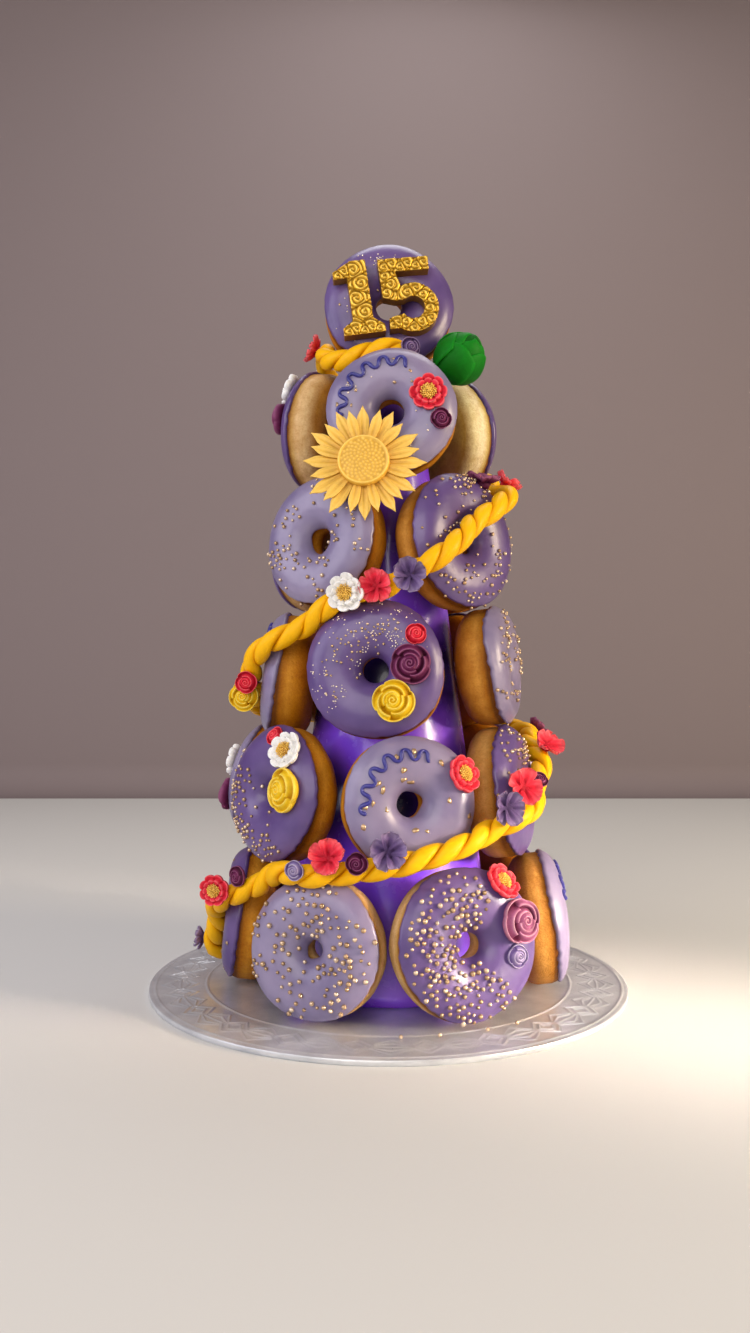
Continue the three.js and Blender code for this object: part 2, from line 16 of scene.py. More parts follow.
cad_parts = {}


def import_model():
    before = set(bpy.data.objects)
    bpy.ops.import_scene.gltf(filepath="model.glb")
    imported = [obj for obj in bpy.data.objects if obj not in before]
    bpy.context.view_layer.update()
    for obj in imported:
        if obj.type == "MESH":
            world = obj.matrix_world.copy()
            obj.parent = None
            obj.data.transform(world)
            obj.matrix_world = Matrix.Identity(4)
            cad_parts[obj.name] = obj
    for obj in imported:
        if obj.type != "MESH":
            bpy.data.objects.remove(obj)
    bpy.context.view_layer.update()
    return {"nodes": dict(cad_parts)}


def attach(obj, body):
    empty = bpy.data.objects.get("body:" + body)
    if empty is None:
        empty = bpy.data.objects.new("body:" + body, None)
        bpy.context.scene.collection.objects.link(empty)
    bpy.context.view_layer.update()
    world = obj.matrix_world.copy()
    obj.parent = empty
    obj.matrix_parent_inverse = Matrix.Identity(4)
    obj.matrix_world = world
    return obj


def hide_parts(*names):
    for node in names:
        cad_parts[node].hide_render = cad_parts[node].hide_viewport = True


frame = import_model()

# The solids' own sizes and places. Tier 1 stands on the board, so it needs no height.

METRES = 0.001
GAP = 0.3
BOARD = Values(radius=152.5, thickness=4, edge=1)
CONE = Values(base=70, tip=20, height=380, shoulder=5)
RING = Values(thickness=31, squareness=2.4, lean=6)
ROPE = Values(half_width=6.8, pitch=35, bend=32, lay=9)
ROPE_ROOM = ROPE.half_width + 2 * GAP
SUNFLOWER = Values(centre=(-15, -72.4, 324), azimuth=-3, lean=12, petals=12, tip=37, disc=15.5)
BUD = Values(centre=(37, -14, 389), radius=17, height=34, azimuth=38, lean=38)
NUMERALS = Values(height=48, depth=9, azimuth=2, stand_off=0.5)
NUMERAL_ONE = Values(right=-28.5, up=-26.5, roll=8)
NUMERAL_FIVE = Values(right=-4, up=-24, roll=5)
TIERS = {
    1: Values(radius=98, height=None),
    2: Values(radius=84, height=127),
    3: Values(radius=71, height=202),
    4: Values(radius=59.5, height=280),
    5: Values(radius=49, height=359),
    6: Values(radius=2, height=435),
}


def record(names, **defaults):
    """A maker of records, which takes the named values in order and any others by name."""

    def make(*values, **extra):
        return Values(**{**defaults, **dict(zip(names.split(), values)), **extra})

    return make


# A flower pressed on icing, small things strewn on it, and a doughnut. spread is in degrees to either
# side of a clock, and rim is how far things stay inside the edge. turn is how far a doughnut faces away
# from straight out, out and lift move it from its tier's ring, bake is how pale its dough is, and wave
# is the stretch of clock that carries a piped wave.

pressed = record("kind shade size clock reach")
strewn = record("count size clock spread rim", clock=0, spread=180, rim=5)
iced = record(
    "azimuth size hole icing", turn=0, out=0, lift=0, bake=0, wave=None, pearls=None, specks=None,
    flakes=None, flowers=())

DOUGHNUTS = {
    1: [
        iced(-24, 81, 10, "lilac", bake=0.4, pearls=strewn(135, 1.4, rim=2)),
        iced(24, 87, 15, "violet", out=2, bake=0.4, pearls=strewn(170, 1.4, -95, 125, 3), flowers=[
            pressed("gilded", "coral", 22, 32, 39), pressed("rose", "mauve", 26, 68, 31),
            pressed("rose", "orchid", 13, 106, 27),
        ]),
        iced(78, 84, 15, "lilac", turn=9, out=-2, bake=0.1, wave=(-60, 70)),
        iced(127, 82, 14, "violet", pearls=strewn(80, 1.5)),
        iced(177, 83, 14, "lilac", flakes=strewn(12, 1.6), flowers=[
            pressed("gilded", "white", 21, -40, 27), pressed("rose", "plum", 22, -85, 27),
        ]),
        iced(226, 82, 15, "violet", pearls=strewn(70, 1.5)),
        iced(275, 84, 14, "violet", out=-10, flakes=strewn(8, 1.3)),
    ],
    2: [
        iced(-48, 82, 14, "violet", turn=-2, lift=1, pearls=strewn(95, 1.1, -125, 85, 1), flowers=[
            pressed("gilded", "white", 22, 34, 32), pressed("rose", "yellow", 26, 81, 24),
            pressed("rose", "coral", 12, 8, 34),
        ]),
        iced(6.5, 78, 15, "lilac", turn=7, lift=-1, wave=(-100, 22), flakes=strewn(18, 1.7), flowers=[
            pressed("gilded", "coral", 22, 61, 33),
        ]),
        iced(63, 82, 14, "violet", turn=8, out=-7, bake=0.15, pearls=strewn(60, 1.1, -25, 75, 1)),
        iced(125, 80, 14, "lilac", pearls=strewn(60, 1.2)),
        iced(187, 81, 15, "violet", specks=strewn(40, 0.45), flowers=[
            pressed("rose", "yellow", 23, -60, 26), pressed("gilded", "coral", 21, 40, 28),
        ]),
        iced(250, 80, 14, "lilac", flowers=[
            pressed("gilded", "white", 21, 58, 27), pressed("rose", "plum", 22, 108, 26),
        ]),
    ],
    3: [
        iced(-6, 82, 15, "violet", specks=strewn(140, 0.45, -30, 105, 3),
             pearls=strewn(60, 0.75, -50, 80, 9), flowers=[
            pressed("rose", "coral", 13, 50, 31), pressed("rose", "plum", 24, 83, 22),
            pressed("rose", "yellow", 25, 148, 22),
        ]),
        iced(64, 75, 14, "lilac", turn=9, out=-2, lift=3, bake=0.05, pearls=strewn(75, 1.1, rim=1)),
        iced(138, 80, 14, "violet", specks=strewn(60, 0.45), flowers=[
            pressed("rose", "plum", 22, -30, 26), pressed("rose", "coral", 13, 20, 28),
        ]),
        iced(212, 79, 14, "lilac", pearls=strewn(55, 1.15)),
        iced(286, 80, 14, "lilac", turn=-14, out=-7, lift=-3, wave=(-80, 50), flakes=strewn(6, 1)),
    ],
    4: [
        iced(-38, 80, 16, "lilac", turn=3, out=1, pearls=strewn(85, 1.1, rim=1)),
        iced(41, 84, 15, "violet", turn=1, out=1, bake=0.06, pearls=strewn(125, 1.05, rim=1)),
        iced(135, 80, 15, "lilac", flakes=strewn(10, 1.2), flowers=[
            pressed("gilded", "white", 21, -35, 27),
        ]),
        iced(228, 81, 15, "violet", bake=0.3, pearls=strewn(60, 1.1)),
    ],
    5: [
        iced(2, 79, 16, "lilac", turn=-6, lift=-2, wave=(-98, 22), specks=strewn(60, 0.5),
             flakes=strewn(14, 1.1), flowers=[
            pressed("gilded", "coral", 22, 71, 24), pressed("rose", "plum", 13, 105, 30),
        ]),
        iced(122, 77, 15, "violet", bake=1, specks=strewn(40, 0.45), flowers=[
            pressed("gilded", "coral", 21, 50, 27),
        ]),
        iced(246, 79, 15, "violet", out=-2, lift=2, bake=0.42, flowers=[
            pressed("gilded", "white", 21, 42, 31), pressed("rose", "plum", 22, 82, 26),
        ]),
    ],
    6: [
        iced(2, 84, 16, "violet", specks=strewn(40, 0.45, -70, 90, 4),
             flakes=strewn(6, 0.9, -70, 40, 10)),
    ],
}

# The rope's route: azimuth, counted on round the tower as it winds down, and height

ROPE_ROUTE = [
    (22, 403), (-10, 404), (-35, 400), (-60, 399), (-80, 403), (-105, 411), (-145, 397), (-165, 380),
    (-190, 362), (-225, 340), (-250, 327), (-272, 316), (-290, 312), (-302, 306), (-310, 299),
    (-320, 292), (-332, 279), (-346, 264), (-362, 251), (-377, 247), (-387, 239), (-396, 230),
    (-407, 221), (-419, 210), (-428, 198), (-440, 187), (-456, 180), (-490, 174), (-540, 167),
    (-590, 163), (-616, 158), (-630, 150), (-642, 140), (-654, 128), (-668, 121), (-680, 115),
    (-693, 107), (-721, 94), (-741, 88), (-757, 87), (-770, 76), (-785, 63), (-800, 50), (-812, 26),
    (-818, 14),
]

# A flower on the rope. turn and lean are how far it faces from straight out, out and rise how far
# outside and above the rope's middle it sits, and off how far off the rope it stands.

on_rope = record("kind shade size azimuth", turn=0, lean=0, out=0, rise=0, off=0)
ROPE_FLOWERS = dict(
    top_rose=on_rope("rose", "purple", 13, 21),
    top_left=on_rope("blossom", "coral", 20, -112, turn=22, lean=30),
    back_high=on_rope("gilded", "white", 21, -178, off=0.8),
    right_high_plum=on_rope("blossom", "plum", 22, -305, lean=84, out=-13, off=4.5),
    right_high_coral=on_rope("blossom", "coral", 20, -279, turn=4, lean=50),
    centre_purple=on_rope("blossom", "purple", 21, -353.5),
    centre_coral=on_rope("blossom", "coral", 21, -365, rise=1.5),
    centre_white=on_rope("gilded", "white", 22, -377),
    left_coral=on_rope("rose", "coral", 14, -428, turn=62, rise=-3),
    left_yellow=on_rope("rose", "yellow", 19, -437, turn=66, rise=-3),
    back_low_coral=on_rope("blossom", "coral", 20, -533),
    back_low_yellow=on_rope("rose", "yellow", 19, -547),
    right_low_plum=on_rope("blossom", "plum", 19, -607, turn=6, lean=15, rise=-2),
    right_low_coral=on_rope("blossom", "coral", 21, -633, turn=-45, lean=40),
    right_low_rose=on_rope("rose", "plum", 11, -653, turn=-50, lean=40),
    front_coral=on_rope("blossom", "coral", 23, -674, turn=-22, lean=20, rise=16),
    front_purple=on_rope("blossom", "purple", 22, -683, turn=-16, rise=11),
    low_purple=on_rope("blossom", "purple", 22, -721, lean=12, rise=8),
    low_plum=on_rope("rose", "plum", 13, -729, rise=6),
    low_coral=on_rope("blossom", "coral", 22, -738, lean=25, rise=8),
    low_orchid=on_rope("rose", "orchid", 12, -747, rise=4),
    low_left_plum=on_rope("rose", "plum", 13, -775, turn=14, rise=9),
    low_left_coral=on_rope("gilded", "coral", 19, -785, turn=48, rise=8),
    end_purple=on_rope("blossom", "purple", 16, -814, rise=4),
)

# Sizes of what only the looks have. Angles of the icing's lips are in degrees round the tube.

DOUGH = Values(columns=84, rows=26, inset=0.5, waist=0.7, lumps=0.14)
ICING = Values(thickness=1.3, sunk=0.5, rows=26, columns=144, coarse=5, outer=22, sag=8, inner=166)
ICING_TOP = ICING.thickness - ICING.sunk
STREWN = Values(inset=2.5, apart=2.1, clumped=0.66, near=1.9, stray=0.6, tries=60)
FLAKE = Values(sides=7, stretch=1.35, clumped=0.3)
WAVE = Values(length=10.5, sway=2.7, inset=11, steps=260, sides=10)
FLOWER = Values(back=0.8, depth=0.3, sunk=0.8, stem=3, small=8, columns=112, rows=44, stamens=64)
STRAND = Values(radius=4.8, flat=0.78, offset=3.1, sides=18, step=1.2)
TUBE_END = Values(narrow=0.62, ring=0.35, tip=0.6)
DISC = Values(columns=120, rows=40, seeds=110, dome=5.6, rise=1.5, foot=1.0)
SCROLL = Values(relief=0.95, pitch=2.7, groove=0.5, voxel=0.42)
FILM = Values(rows=60, columns=96, sway=0.25, shade=0.33)
EMBOSS = Values(inner=119, outer=147, sectors=22, height=0.6, columns=54, rows=68, fine=0.45)
FALLEN = Values(azimuths=(2.6, 12.8, 26.5, 36.3), radius=120.5, height=4.6, size=1.2)


# Places and curves


def circle(count):
    """Angles spread evenly over a full turn."""
    return np.linspace(0, tau, count, endpoint=False)


def around(radius, angle, height):
    """Points at a radius and an angle about Z, and a height."""
    return np.stack(np.broadcast_arrays(radius * np.cos(angle), radius * np.sin(angle), height), -1)


def spiral_spots(count, reach):
    """Radii and angles of spots spread evenly over a disc."""
    spots = np.arange(count)
    return reach * np.sqrt((spots + 0.5) / count), pi * (3 - 5 ** 0.5) * spots


def bell(distance, width):
    """The height, up to 1, of a rounded ridge at a distance from its line."""
    return np.exp(-((distance / width) ** 2))


def waves(random, orders, size):
    """A rule of angle that wavers evenly about zero, the same for the same random state."""
    sizes = size * random.uniform(0.4, 1, len(orders))
    phases = random.uniform(0, tau, len(orders))
    return lambda angle: sum(s * np.cos(k * angle + p) for k, s, p in zip(orders, sizes, phases))


def signed_power(value, power):
    return np.sign(value) * np.abs(value) ** power


def unit(vectors):
    return vectors / np.linalg.norm(vectors, axis=-1, keepdims=True)


def lengths(points):
    """How far along a line each of its points lies."""
    return np.concatenate([[0], np.cumsum(np.linalg.norm(np.diff(points, axis=0), axis=1))])


def moved(points, place):
    """Points put through a placing matrix."""
    return points @ np.array(place.to_3x3()).T + np.array(place.translation)


def rotation(angle, axis):
    return Matrix.Rotation(radians(angle), 4, axis)


def raised(height):
    return Matrix.Translation((0, 0, height))


def on_tower(azimuth, radius, height):
    return Vector((radius * sin(radians(azimuth)), -radius * cos(radians(azimuth)), height))


def facing(position, azimuth, lean):
    """A frame whose +Z faces out from the tower, leaning up, with +X to the right."""
    return Matrix.Translation(position) @ rotation(azimuth, "Z") @ rotation(90 - lean, "X")


# Meshes


def linked(name, data):
    """A new object in the scene."""
    thing = bpy.data.objects.new(name, data)
    bpy.context.collection.objects.link(thing)
    return thing


def drawn(name, points, faces):
    """A new smooth mesh in the scene."""
    mesh = bpy.data.meshes.new(name)
    mesh.from_pydata(points, [], faces)
    mesh.shade_smooth()
    return linked(name, mesh)


def mark(piece, name, values):
    """Keeps one number for each point of a piece, which its material reads by name."""
    attribute = piece.data.attributes.new(name, "FLOAT", "POINT")
    attribute.data.foreach_set("value", np.asarray(values, np.float32))


def grid_faces(rows, columns, round_rows=False, round_columns=False):
    """Four-sided faces over a grid of points, which may close on itself either way."""
    i, j = np.mgrid[:rows - 1 + round_rows, :columns - 1 + round_columns]
    corners = [(i, j), (i + 1, j), (i + 1, j + 1), (i, j + 1)]
    return np.stack([(a % rows) * columns + b % columns for a, b in corners], -1).reshape(-1, 4)


def volume(points, faces):
    """Six times the volume inside closed faces, below zero where they point inwards."""
    total = 0
    for group in faces:
        first = points[group[:, 0]]
        for k in range(1, group.shape[1] - 1):
            total += np.sum(first * np.cross(points[group[:, k]], points[group[:, k + 1]]))
    return total


class Shape:
    """A mesh gathered from closed surfaces, with one tone from 0 to 1 at each point."""

    def __init__(self):
        self.points = []
        self.tones = []
        self.faces = []
        self.count = 0

    def add(self, points, faces, tone, place=None):
        points = np.asarray(points, float).reshape(-1, 3)
        if place is not None:
            points = moved(points, place)
        if volume(points - points.mean(0), faces) < 0:
            faces = [group[:, ::-1] for group in faces]
        self.points.append(points)
        self.tones.append(np.broadcast_to(np.ravel(tone), len(points)))
        for group in faces:
            self.faces.extend((group + self.count).tolist())
        self.count += len(points)

    def piece(self, name, slot, replaced=()):
        """The shape as a piece of the tower, finished as its slot, standing for the replaced solids."""
        piece = drawn(name, (np.concatenate(self.points) * METRES).tolist(), self.faces)
        piece.data.materials.append(MATERIALS[slot])
        mark(piece, "tone", np.concatenate(self.tones))
        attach(piece, "root")
        if replaced:
            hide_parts(*replaced)
        return piece


def add_torus(shape, points, tone, place):
    """A ring-shaped solid over a grid of points that closes on itself both ways."""
    rows, columns = points.shape[:2]
    tones = np.broadcast_to(tone, (rows, columns))
    shape.add(points, [grid_faces(rows, columns, True, True)], tones, place)


def add_slab(shape, top, bottom, tone, place):
    """A thin solid between two grids of points."""
    rows, columns = top.shape[:2]
    size = rows * columns
    faces = grid_faces(rows, columns)
    index = np.arange(size).reshape(rows, columns)
    rim = np.concatenate([index[0, :-1], index[:-1, -1], index[-1, :0:-1], index[:0:-1, 0]])
    ahead = np.roll(rim, -1)
    sides = np.stack([rim, ahead, ahead + size, rim + size], -1)
    tones = np.broadcast_to(tone, (rows, columns)).ravel()
    points = np.concatenate([top.reshape(-1, 3), bottom.reshape(-1, 3)])
    shape.add(points, [faces, faces[:, ::-1] + size, sides], np.concatenate([tones, tones]), place)


def add_loft(shape, rings, start, end, tone, place=None):
    """A closed solid through rings of points, from one end point to the other."""
    rows, columns = rings.shape[:2]
    first = np.arange(columns)
    ahead = np.roll(first, -1)
    last = (rows - 1) * columns
    size = rows * columns
    caps = np.concatenate([
        np.stack([first, ahead, np.full(columns, size)], -1),
        np.stack([ahead + last, first + last, np.full(columns, size + 1)], -1),
    ])
    tones = np.broadcast_to(tone, (rows, columns)).ravel()
    tones = np.concatenate([tones, tones[:1], tones[-1:]])
    points = np.concatenate([rings.reshape(-1, 3), [start], [end]])
    shape.add(points, [grid_faces(rows, columns, round_columns=True), caps], tones, place)


def add_tube(shape, line, radius, up, sides, tone, place=None, flat=1.0):
    """A round-ended tube along a line of points, flattened along the way up at each."""
    forward = unit(np.gradient(line, axis=0))
    side = unit(np.cross(forward, up))
    over = np.cross(side, forward)
    angle = circle(sides)[:, None]
    section = np.cos(angle) * side[:, None] + flat * np.sin(angle) * over[:, None]
    swell = np.ones(len(line))
    swell[[0, -1]] = TUBE_END.narrow
    rings = line[:, None] + section * (radius * swell)[:, None, None]
    rings[0] -= TUBE_END.ring * radius[0] * forward[0]
    rings[-1] += TUBE_END.ring * radius[-1] * forward[-1]
    start = line[0] - TUBE_END.tip * radius[0] * forward[0]
    end = line[-1] + TUBE_END.tip * radius[-1] * forward[-1]
    add_loft(shape, rings, start, end, tone, place)


def add_lathe(shape, profile, columns, tone, place):
    """A solid turned about Z, from a profile of radius and height that ends on the axis both ways."""
    profile = np.asarray(profile, float)
    rings = around(profile[1:-1, :1], circle(columns), profile[1:-1, 1:])
    add_loft(shape, rings, (0, 0, profile[0, 1]), (0, 0, profile[-1, 1]), tone, place)


def ball():
    """The points and faces of a small round ball of radius 1."""
    mesh = bmesh.new()
    bmesh.ops.create_icosphere(mesh, subdivisions=2, radius=1)
    points = np.array([vertex.co for vertex in mesh.verts])
    faces = np.array([[vertex.index for vertex in face.verts] for face in mesh.faces])
    mesh.free()
    return points, faces


BALL_POINTS, BALL_FACES = ball()


def add_balls(shape, centres, radii, tones):
    """A ball at each centre."""
    points = np.asarray(centres)[:, None] + np.asarray(radii)[:, None, None] * BALL_POINTS
    steps = np.arange(len(points)) * len(BALL_POINTS)
    faces = (BALL_FACES[None] + steps[:, None, None]).reshape(-1, 3)
    shape.add(points, [faces], np.broadcast_to(tones, len(points)).repeat(len(BALL_POINTS)))


# Materials


def colour(code):
    """The linear colour of a six-digit web colour."""
    parts = [int(code[k:k + 2], 16) / 255 for k in (0, 2, 4)]
    return [p / 12.92 if p <= 0.04045 else ((p + 0.055) / 1.055) ** 2.4 for p in parts] + [1]


class Finish:
    """A material's node tree, with short names for the nodes that these finishes use.

    Inputs are named with underscores for spaces. Each is a constant or another node's output.
    """

    def __init__(self, name, **constants):
        self.material = bpy.data.materials.new(name)
        self.material.use_nodes = True
        self.tree = self.material.node_tree
        self.shader = self.tree.nodes["Principled BSDF"]
        self.where = self.node("TexCoord").outputs["Object"]
        self.feed(self.shader, **constants)

    def feed(self, node, **inputs):
        sockets = {socket.identifier.replace(" ", "_"): socket for socket in node.inputs}
        for name, value in inputs.items():
            if isinstance(value, bpy.types.NodeSocket):
                self.tree.links.new(value, sockets[name])
            else:
                sockets[name].default_value = value

    def node(self, kind, **inputs):
        node = self.tree.nodes.new("ShaderNode" + kind)
        self.feed(node, **inputs)
        return node

    def noise(self, size, detail=3, rough=0.55):
        """Cloudy noise whose lumps are about size millimetres across."""
        scale = 1 / (size * METRES)
        node = self.node("TexNoise", Vector=self.where, Scale=scale, Detail=detail, Roughness=rough)
        return node.outputs["Fac"]

    def attribute(self, name="tone"):
        node = self.node("Attribute")
        node.attribute_name = name
        return node.outputs["Fac"]

    def ramp(self, factor, stops):
        """A colour that runs through stops of position and web colour."""
        node = self.node("ValToRGB", Fac=factor)
        elements = node.color_ramp.elements
        while len(elements) < len(stops):
            elements.new(0.5)
        for element, (position, code) in zip(elements, stops):
            element.position = position
            element.color = colour(code)
        return node.outputs["Color"]

    def mix(self, first, second, factor, kind="MIX"):
        node = self.node("Mix")
        node.data_type = "RGBA"
        node.blend_type = kind
        self.feed(node, Factor_Float=factor, A_Color=first, B_Color=second)
        return next(socket for socket in node.outputs if socket.identifier == "Result_Color")

    def between(self, factor, low, high):
        """A number that runs from low to high with a factor."""
        return self.node("MapRange", Value=factor, To_Min=low, To_Max=high).outputs["Result"]

    def dress(self, base, gloss, *reliefs):
        """The material in a base colour, with a roughness and layers of relief that follow noise.

        gloss holds the noise's size, the least roughness and the most. Each relief holds its depth in
        millimetres and its noise's size, detail and roughness.
        """
        size, low, high = gloss
        normal = {}
        for depth, *grain in reliefs:
            height = self.noise(*grain)
            bump = self.node("Bump", Strength=1, Distance=depth * METRES, Height=height, **normal)
            normal = dict(Normal=bump.outputs["Normal"])
        rough = self.between(self.noise(size), low, high)
        self.feed(self.shader, Base_Color=base, Roughness=rough, **normal)
        return self.material


def dough_finish():
    """Fried crust: a brown line at the icing, a golden side with a paler band, a browner back."""
    finish = Finish("dough", Roughness=0.55, Specular_IOR_Level=0.16)
    # The dark stops near tone 0.3 make the brown line at the icing: partly the crust's real colour,
    # partly painted shade under the icing's lip.
    fried = finish.ramp(finish.attribute(), [
        (0.0, "90580a"), (0.3, "6c3c02"), (0.37, "ac6c06"), (0.5, "d0922a"), (0.64, "c07e0c"),
        (0.8, "a26004"), (1.0, "864c04"),
    ])
    pale = finish.ramp(finish.attribute(), [
        (0.0, "a87830"), (0.3, "8c5c18"), (0.38, "dcc884"), (0.5, "fff6d4"), (0.72, "f6ecbc"),
        (0.9, "b89040"),
    ])
    baked = finish.mix(fried, pale, finish.attribute("bake"))
    blotched = finish.ramp(finish.noise(10, 5, 0.65), [(0.3, "d4bc92"), (0.7, "ffffff")])
    pored = finish.ramp(finish.noise(1.3, 3, 0.6), [(0.3, "d8c4a0"), (0.55, "ffffff")])
    mottled = finish.mix(blotched, pored, 0.6, "MULTIPLY")
    base = finish.mix(baked, mottled, 0.8, "MULTIPLY")
    return finish.dress(base, (3, 0.46, 0.7), (0.35, 1.1, 4, 0.6), (0.7, 6))


def icing_finish(name, body, deep, light):
    """Poured glaze: satin gloss, faintly cloudy, thinner and deeper in colour at its lip."""
    finish = Finish(
        name, Roughness=0.34, Coat_Weight=0.16, Coat_Roughness=0.16, Subsurface_Weight=0.06,
        Subsurface_Radius=(0.003, 0.002, 0.004))
    cloudy = finish.ramp(finish.noise(30), [(0.28, deep), (0.5, body), (0.74, light)])
    lip = finish.between(finish.attribute(), 0, 0.7)
    return finish.dress(finish.mix(cloudy, colour(deep), lip), (8, 0.28, 0.44), (0.5, 14, 2))


def paste_finish(name, deep, body, edge, roughness=0.55, grainy=0.8):
    """Sugar paste: painted shade deepens its colour in its hollows, painted highlight lightens its
    edges, and it has a fine powdery grain.
    """
    finish = Finish(
        name, Roughness=roughness, Specular_IOR_Level=0.16, Subsurface_Weight=0.05,
        Subsurface_Radius=(0.002, 0.0015, 0.001))
    toned = finish.ramp(finish.attribute(), [(0.0, deep), (0.5, body), (1.0, edge)])
    grain = finish.ramp(finish.noise(2.5, 4, 0.6), [(0.3, "dedede"), (0.7, "ffffff")])
    base = finish.mix(toned, grain, grainy, "MULTIPLY")
    return finish.dress(base, (4, roughness - 0.08, roughness + 0.1), (0.15 * grainy, 0.9))


def gold_finish(name, deep, body, light, roughness, metallic, worn):
    """Gold lustre: painted highlight where it stands proud, painted shade brown in its hollows, worn
    unevenly.
    """
    finish = Finish(name, Roughness=roughness, Metallic=metallic)
    toned = finish.ramp(finish.attribute(), [(0.0, deep), (0.5, body), (1.0, light)])
    brushed = finish.ramp(finish.noise(2.2, 4, 0.65), [(0.32, "c8b898"), (0.62, "ffffff")])
    base = finish.mix(toned, brushed, worn, "MULTIPLY")
    return finish.dress(base, (1.6, roughness - 0.08, roughness + 0.12), (0.15 * worn, 1.2))


def film_finish():
    """Glossy purple film drawn tight over a cone, with soft creases, and painted shade behind the
    doughnuts.
    """
    finish = Finish("film", Roughness=0.24, Coat_Weight=0.3, Coat_Roughness=0.05)
    tight = finish.ramp(finish.noise(30, 2), [(0.3, "7c3cff"), (0.7, "a262ff")])
    # The tone is painted shade: it mixes in a near-black purple behind each doughnut.
    base = finish.mix(tight, colour("140640"), finish.attribute())
    return finish.dress(base, (11, 0.18, 0.34), (1.2, 34, 2))


def foil_finish():
    """Silver foil on card with a fine leathery grain."""
    finish = Finish("foil", Roughness=0.3, Metallic=0.6)
    base = finish.ramp(finish.noise(18), [(0.3, "c6c8ce"), (0.7, "e0e2e6")])
    return finish.dress(base, (2, 0.24, 0.38), (0.14, 1.3, 2))


ICINGS = dict(
    lilac=("837898", "6f648a", "9085a3"),
    violet=("5c467e", "4c3771", "6a548a"),
    piping=("302d82", "242472", "3e3c90"),
)
# A paste's first colour is painted shade for its hollows and its last painted highlight for its edges.
PASTES = dict(
    rope=("c07800", "f0ae00", "fcc010", 0.42, 0.25),
    coral=("a80c24", "ea3046", "ff7078"),
    plum=("400e28", "6c2450", "9c5c80"),
    mauve=("5a1a38", "a05a80", "d29cb0"),
    purple=("3c2850", "6c5486", "a08cb0"),
    orchid=("64508a", "a090b8", "d0c4dc"),
    yellow=("b88400", "f2c61a", "fde468"),
    white=("d6d0c6", "faf8f4", "ffffff"),
    green=("003002", "00700c", "0a8418", 0.6),
)
# For sun and gold, the first colour is painted shade for hollows and the last painted highlight where
# the relief stands proud.
GOLDS = dict(
    sun=("b47a14", "eaba46", "fcd46c", 0.45, 0.1, 0.25),
    pearl=("6e5236", "c8a884", "fff0de", 0.2, 0.6, 0.2),
    gold=("3a1e00", "b88818", "f0c85c", 0.34, 0.85, 0.5),
)
MATERIALS = dict(dough=dough_finish(), film=film_finish(), foil=foil_finish())
for finished, table in ((icing_finish, ICINGS), (paste_finish, PASTES), (gold_finish, GOLDS)):
    MATERIALS.update({name: finished(name, *values) for name, values in table.items()})


# Doughnuts


class Doughnut:
    """A ring about its own Y axis with the icing to -Y, a little uneven, and its place on the tower."""

    def __init__(self, tier, number, data, seed):
        self.label = f"{tier}_{number}"
        self.data = data
        self.middle = (data.size + data.hole) / 4
        self.half = (data.size - data.hole) / 4
        self.deep = RING.thickness / 2
        self.random = np.random.default_rng(seed)
        self.swell = waves(self.random, (2, 3, 4, 5), 0.008)
        self.slump = waves(self.random, (1, 2, 3), 0.025)
        self.seat = self.place(TIERS[tier])
        self.inverse = self.seat.inverted()

    def place(self, tier):
        lean = radians(RING.lean)
        below = self.middle * cos(lean) + hypot(self.half * cos(lean), self.deep * sin(lean))
        height = (tier.height or BOARD.thickness + GAP + below) + self.data.lift
        away = Matrix.Translation((0, -(tier.radius + self.data.out), height))
        upright = rotation(self.data.azimuth, "Z") @ away
        return upright @ rotation(-RING.lean, "X") @ rotation(self.data.turn, "Z")

    def section(self, angle):
        """Where a point round the tube lies, and the way out there: outwards and to the front."""
        n = RING.squareness
        across = signed_power(np.cos(angle), 2 / n)
        ahead = signed_power(np.sin(angle), 2 / n)
        outwards = signed_power(across, n - 1) / self.half
        forwards = signed_power(ahead, n - 1) / self.deep
        length = np.hypot(outwards, forwards)
        return self.half * across, self.deep * ahead, outwards / length, forwards / length

    def skin(self, clock, angle, offset):
        """Points at a clock round the hole and an angle round the tube, offset out from the dough."""
        across, ahead, outwards, forwards = self.section(angle)
        reach = (self.middle + across + offset * outwards) * (1 + self.swell(clock))
        front = (ahead + offset * forwards) * (1 + self.slump(clock))
        return np.stack([reach * np.sin(clock), -front, reach * np.cos(clock)], -1)

    def angle_at(self, reach):
        """The angle round the tube of the iced face at a distance from the axis."""
        across = np.clip((reach - self.middle) / self.half, -1, 1)
        return np.arccos(signed_power(across, RING.squareness / 2))

    def spot(self, clock, reach, offset):
        """A frame on the iced face: +Z out of the icing, +Y away from the axis."""
        clock = radians(clock)
        angle = self.angle_at(reach)
        outwards, forwards = (float(part) for part in self.section(angle)[2:])
        radial = Vector((sin(clock), 0, cos(clock)))
        normal = (outwards * radial + forwards * Vector((0, -1, 0))).normalized()
        away = (radial - radial.dot(normal) * normal).normalized()
        seated = Matrix((away.cross(normal), away, normal)).transposed().to_4x4()
        seated.translation = self.skin(clock, angle, offset)
        return self.seat @ seated


def make_dough(ring):
    """The fried ring, with a faint waist along its pale band."""
    clock = circle(DOUGH.columns)
    angle = circle(DOUGH.rows)[:, None]
    waist = DOUGH.waist * bell(np.sin(angle), 0.22) * (np.cos(angle) > 0)
    lumps = waves(ring.random, (6, 9, 13), DOUGH.lumps)(clock) * np.cos(angle + 1)
    points = ring.skin(clock, angle, lumps - waist - DOUGH.inset)
    tone = 0.5 - 0.5 * signed_power(np.sin(angle), 2 / RING.squareness)
    shape = Shape()
    add_torus(shape, points, tone, ring.seat)
    piece = shape.piece(f"dough_{ring.label}", "dough", [f"doughnut_{ring.label}"])
    mark(piece, "bake", np.full(shape.count, ring.data.bake))


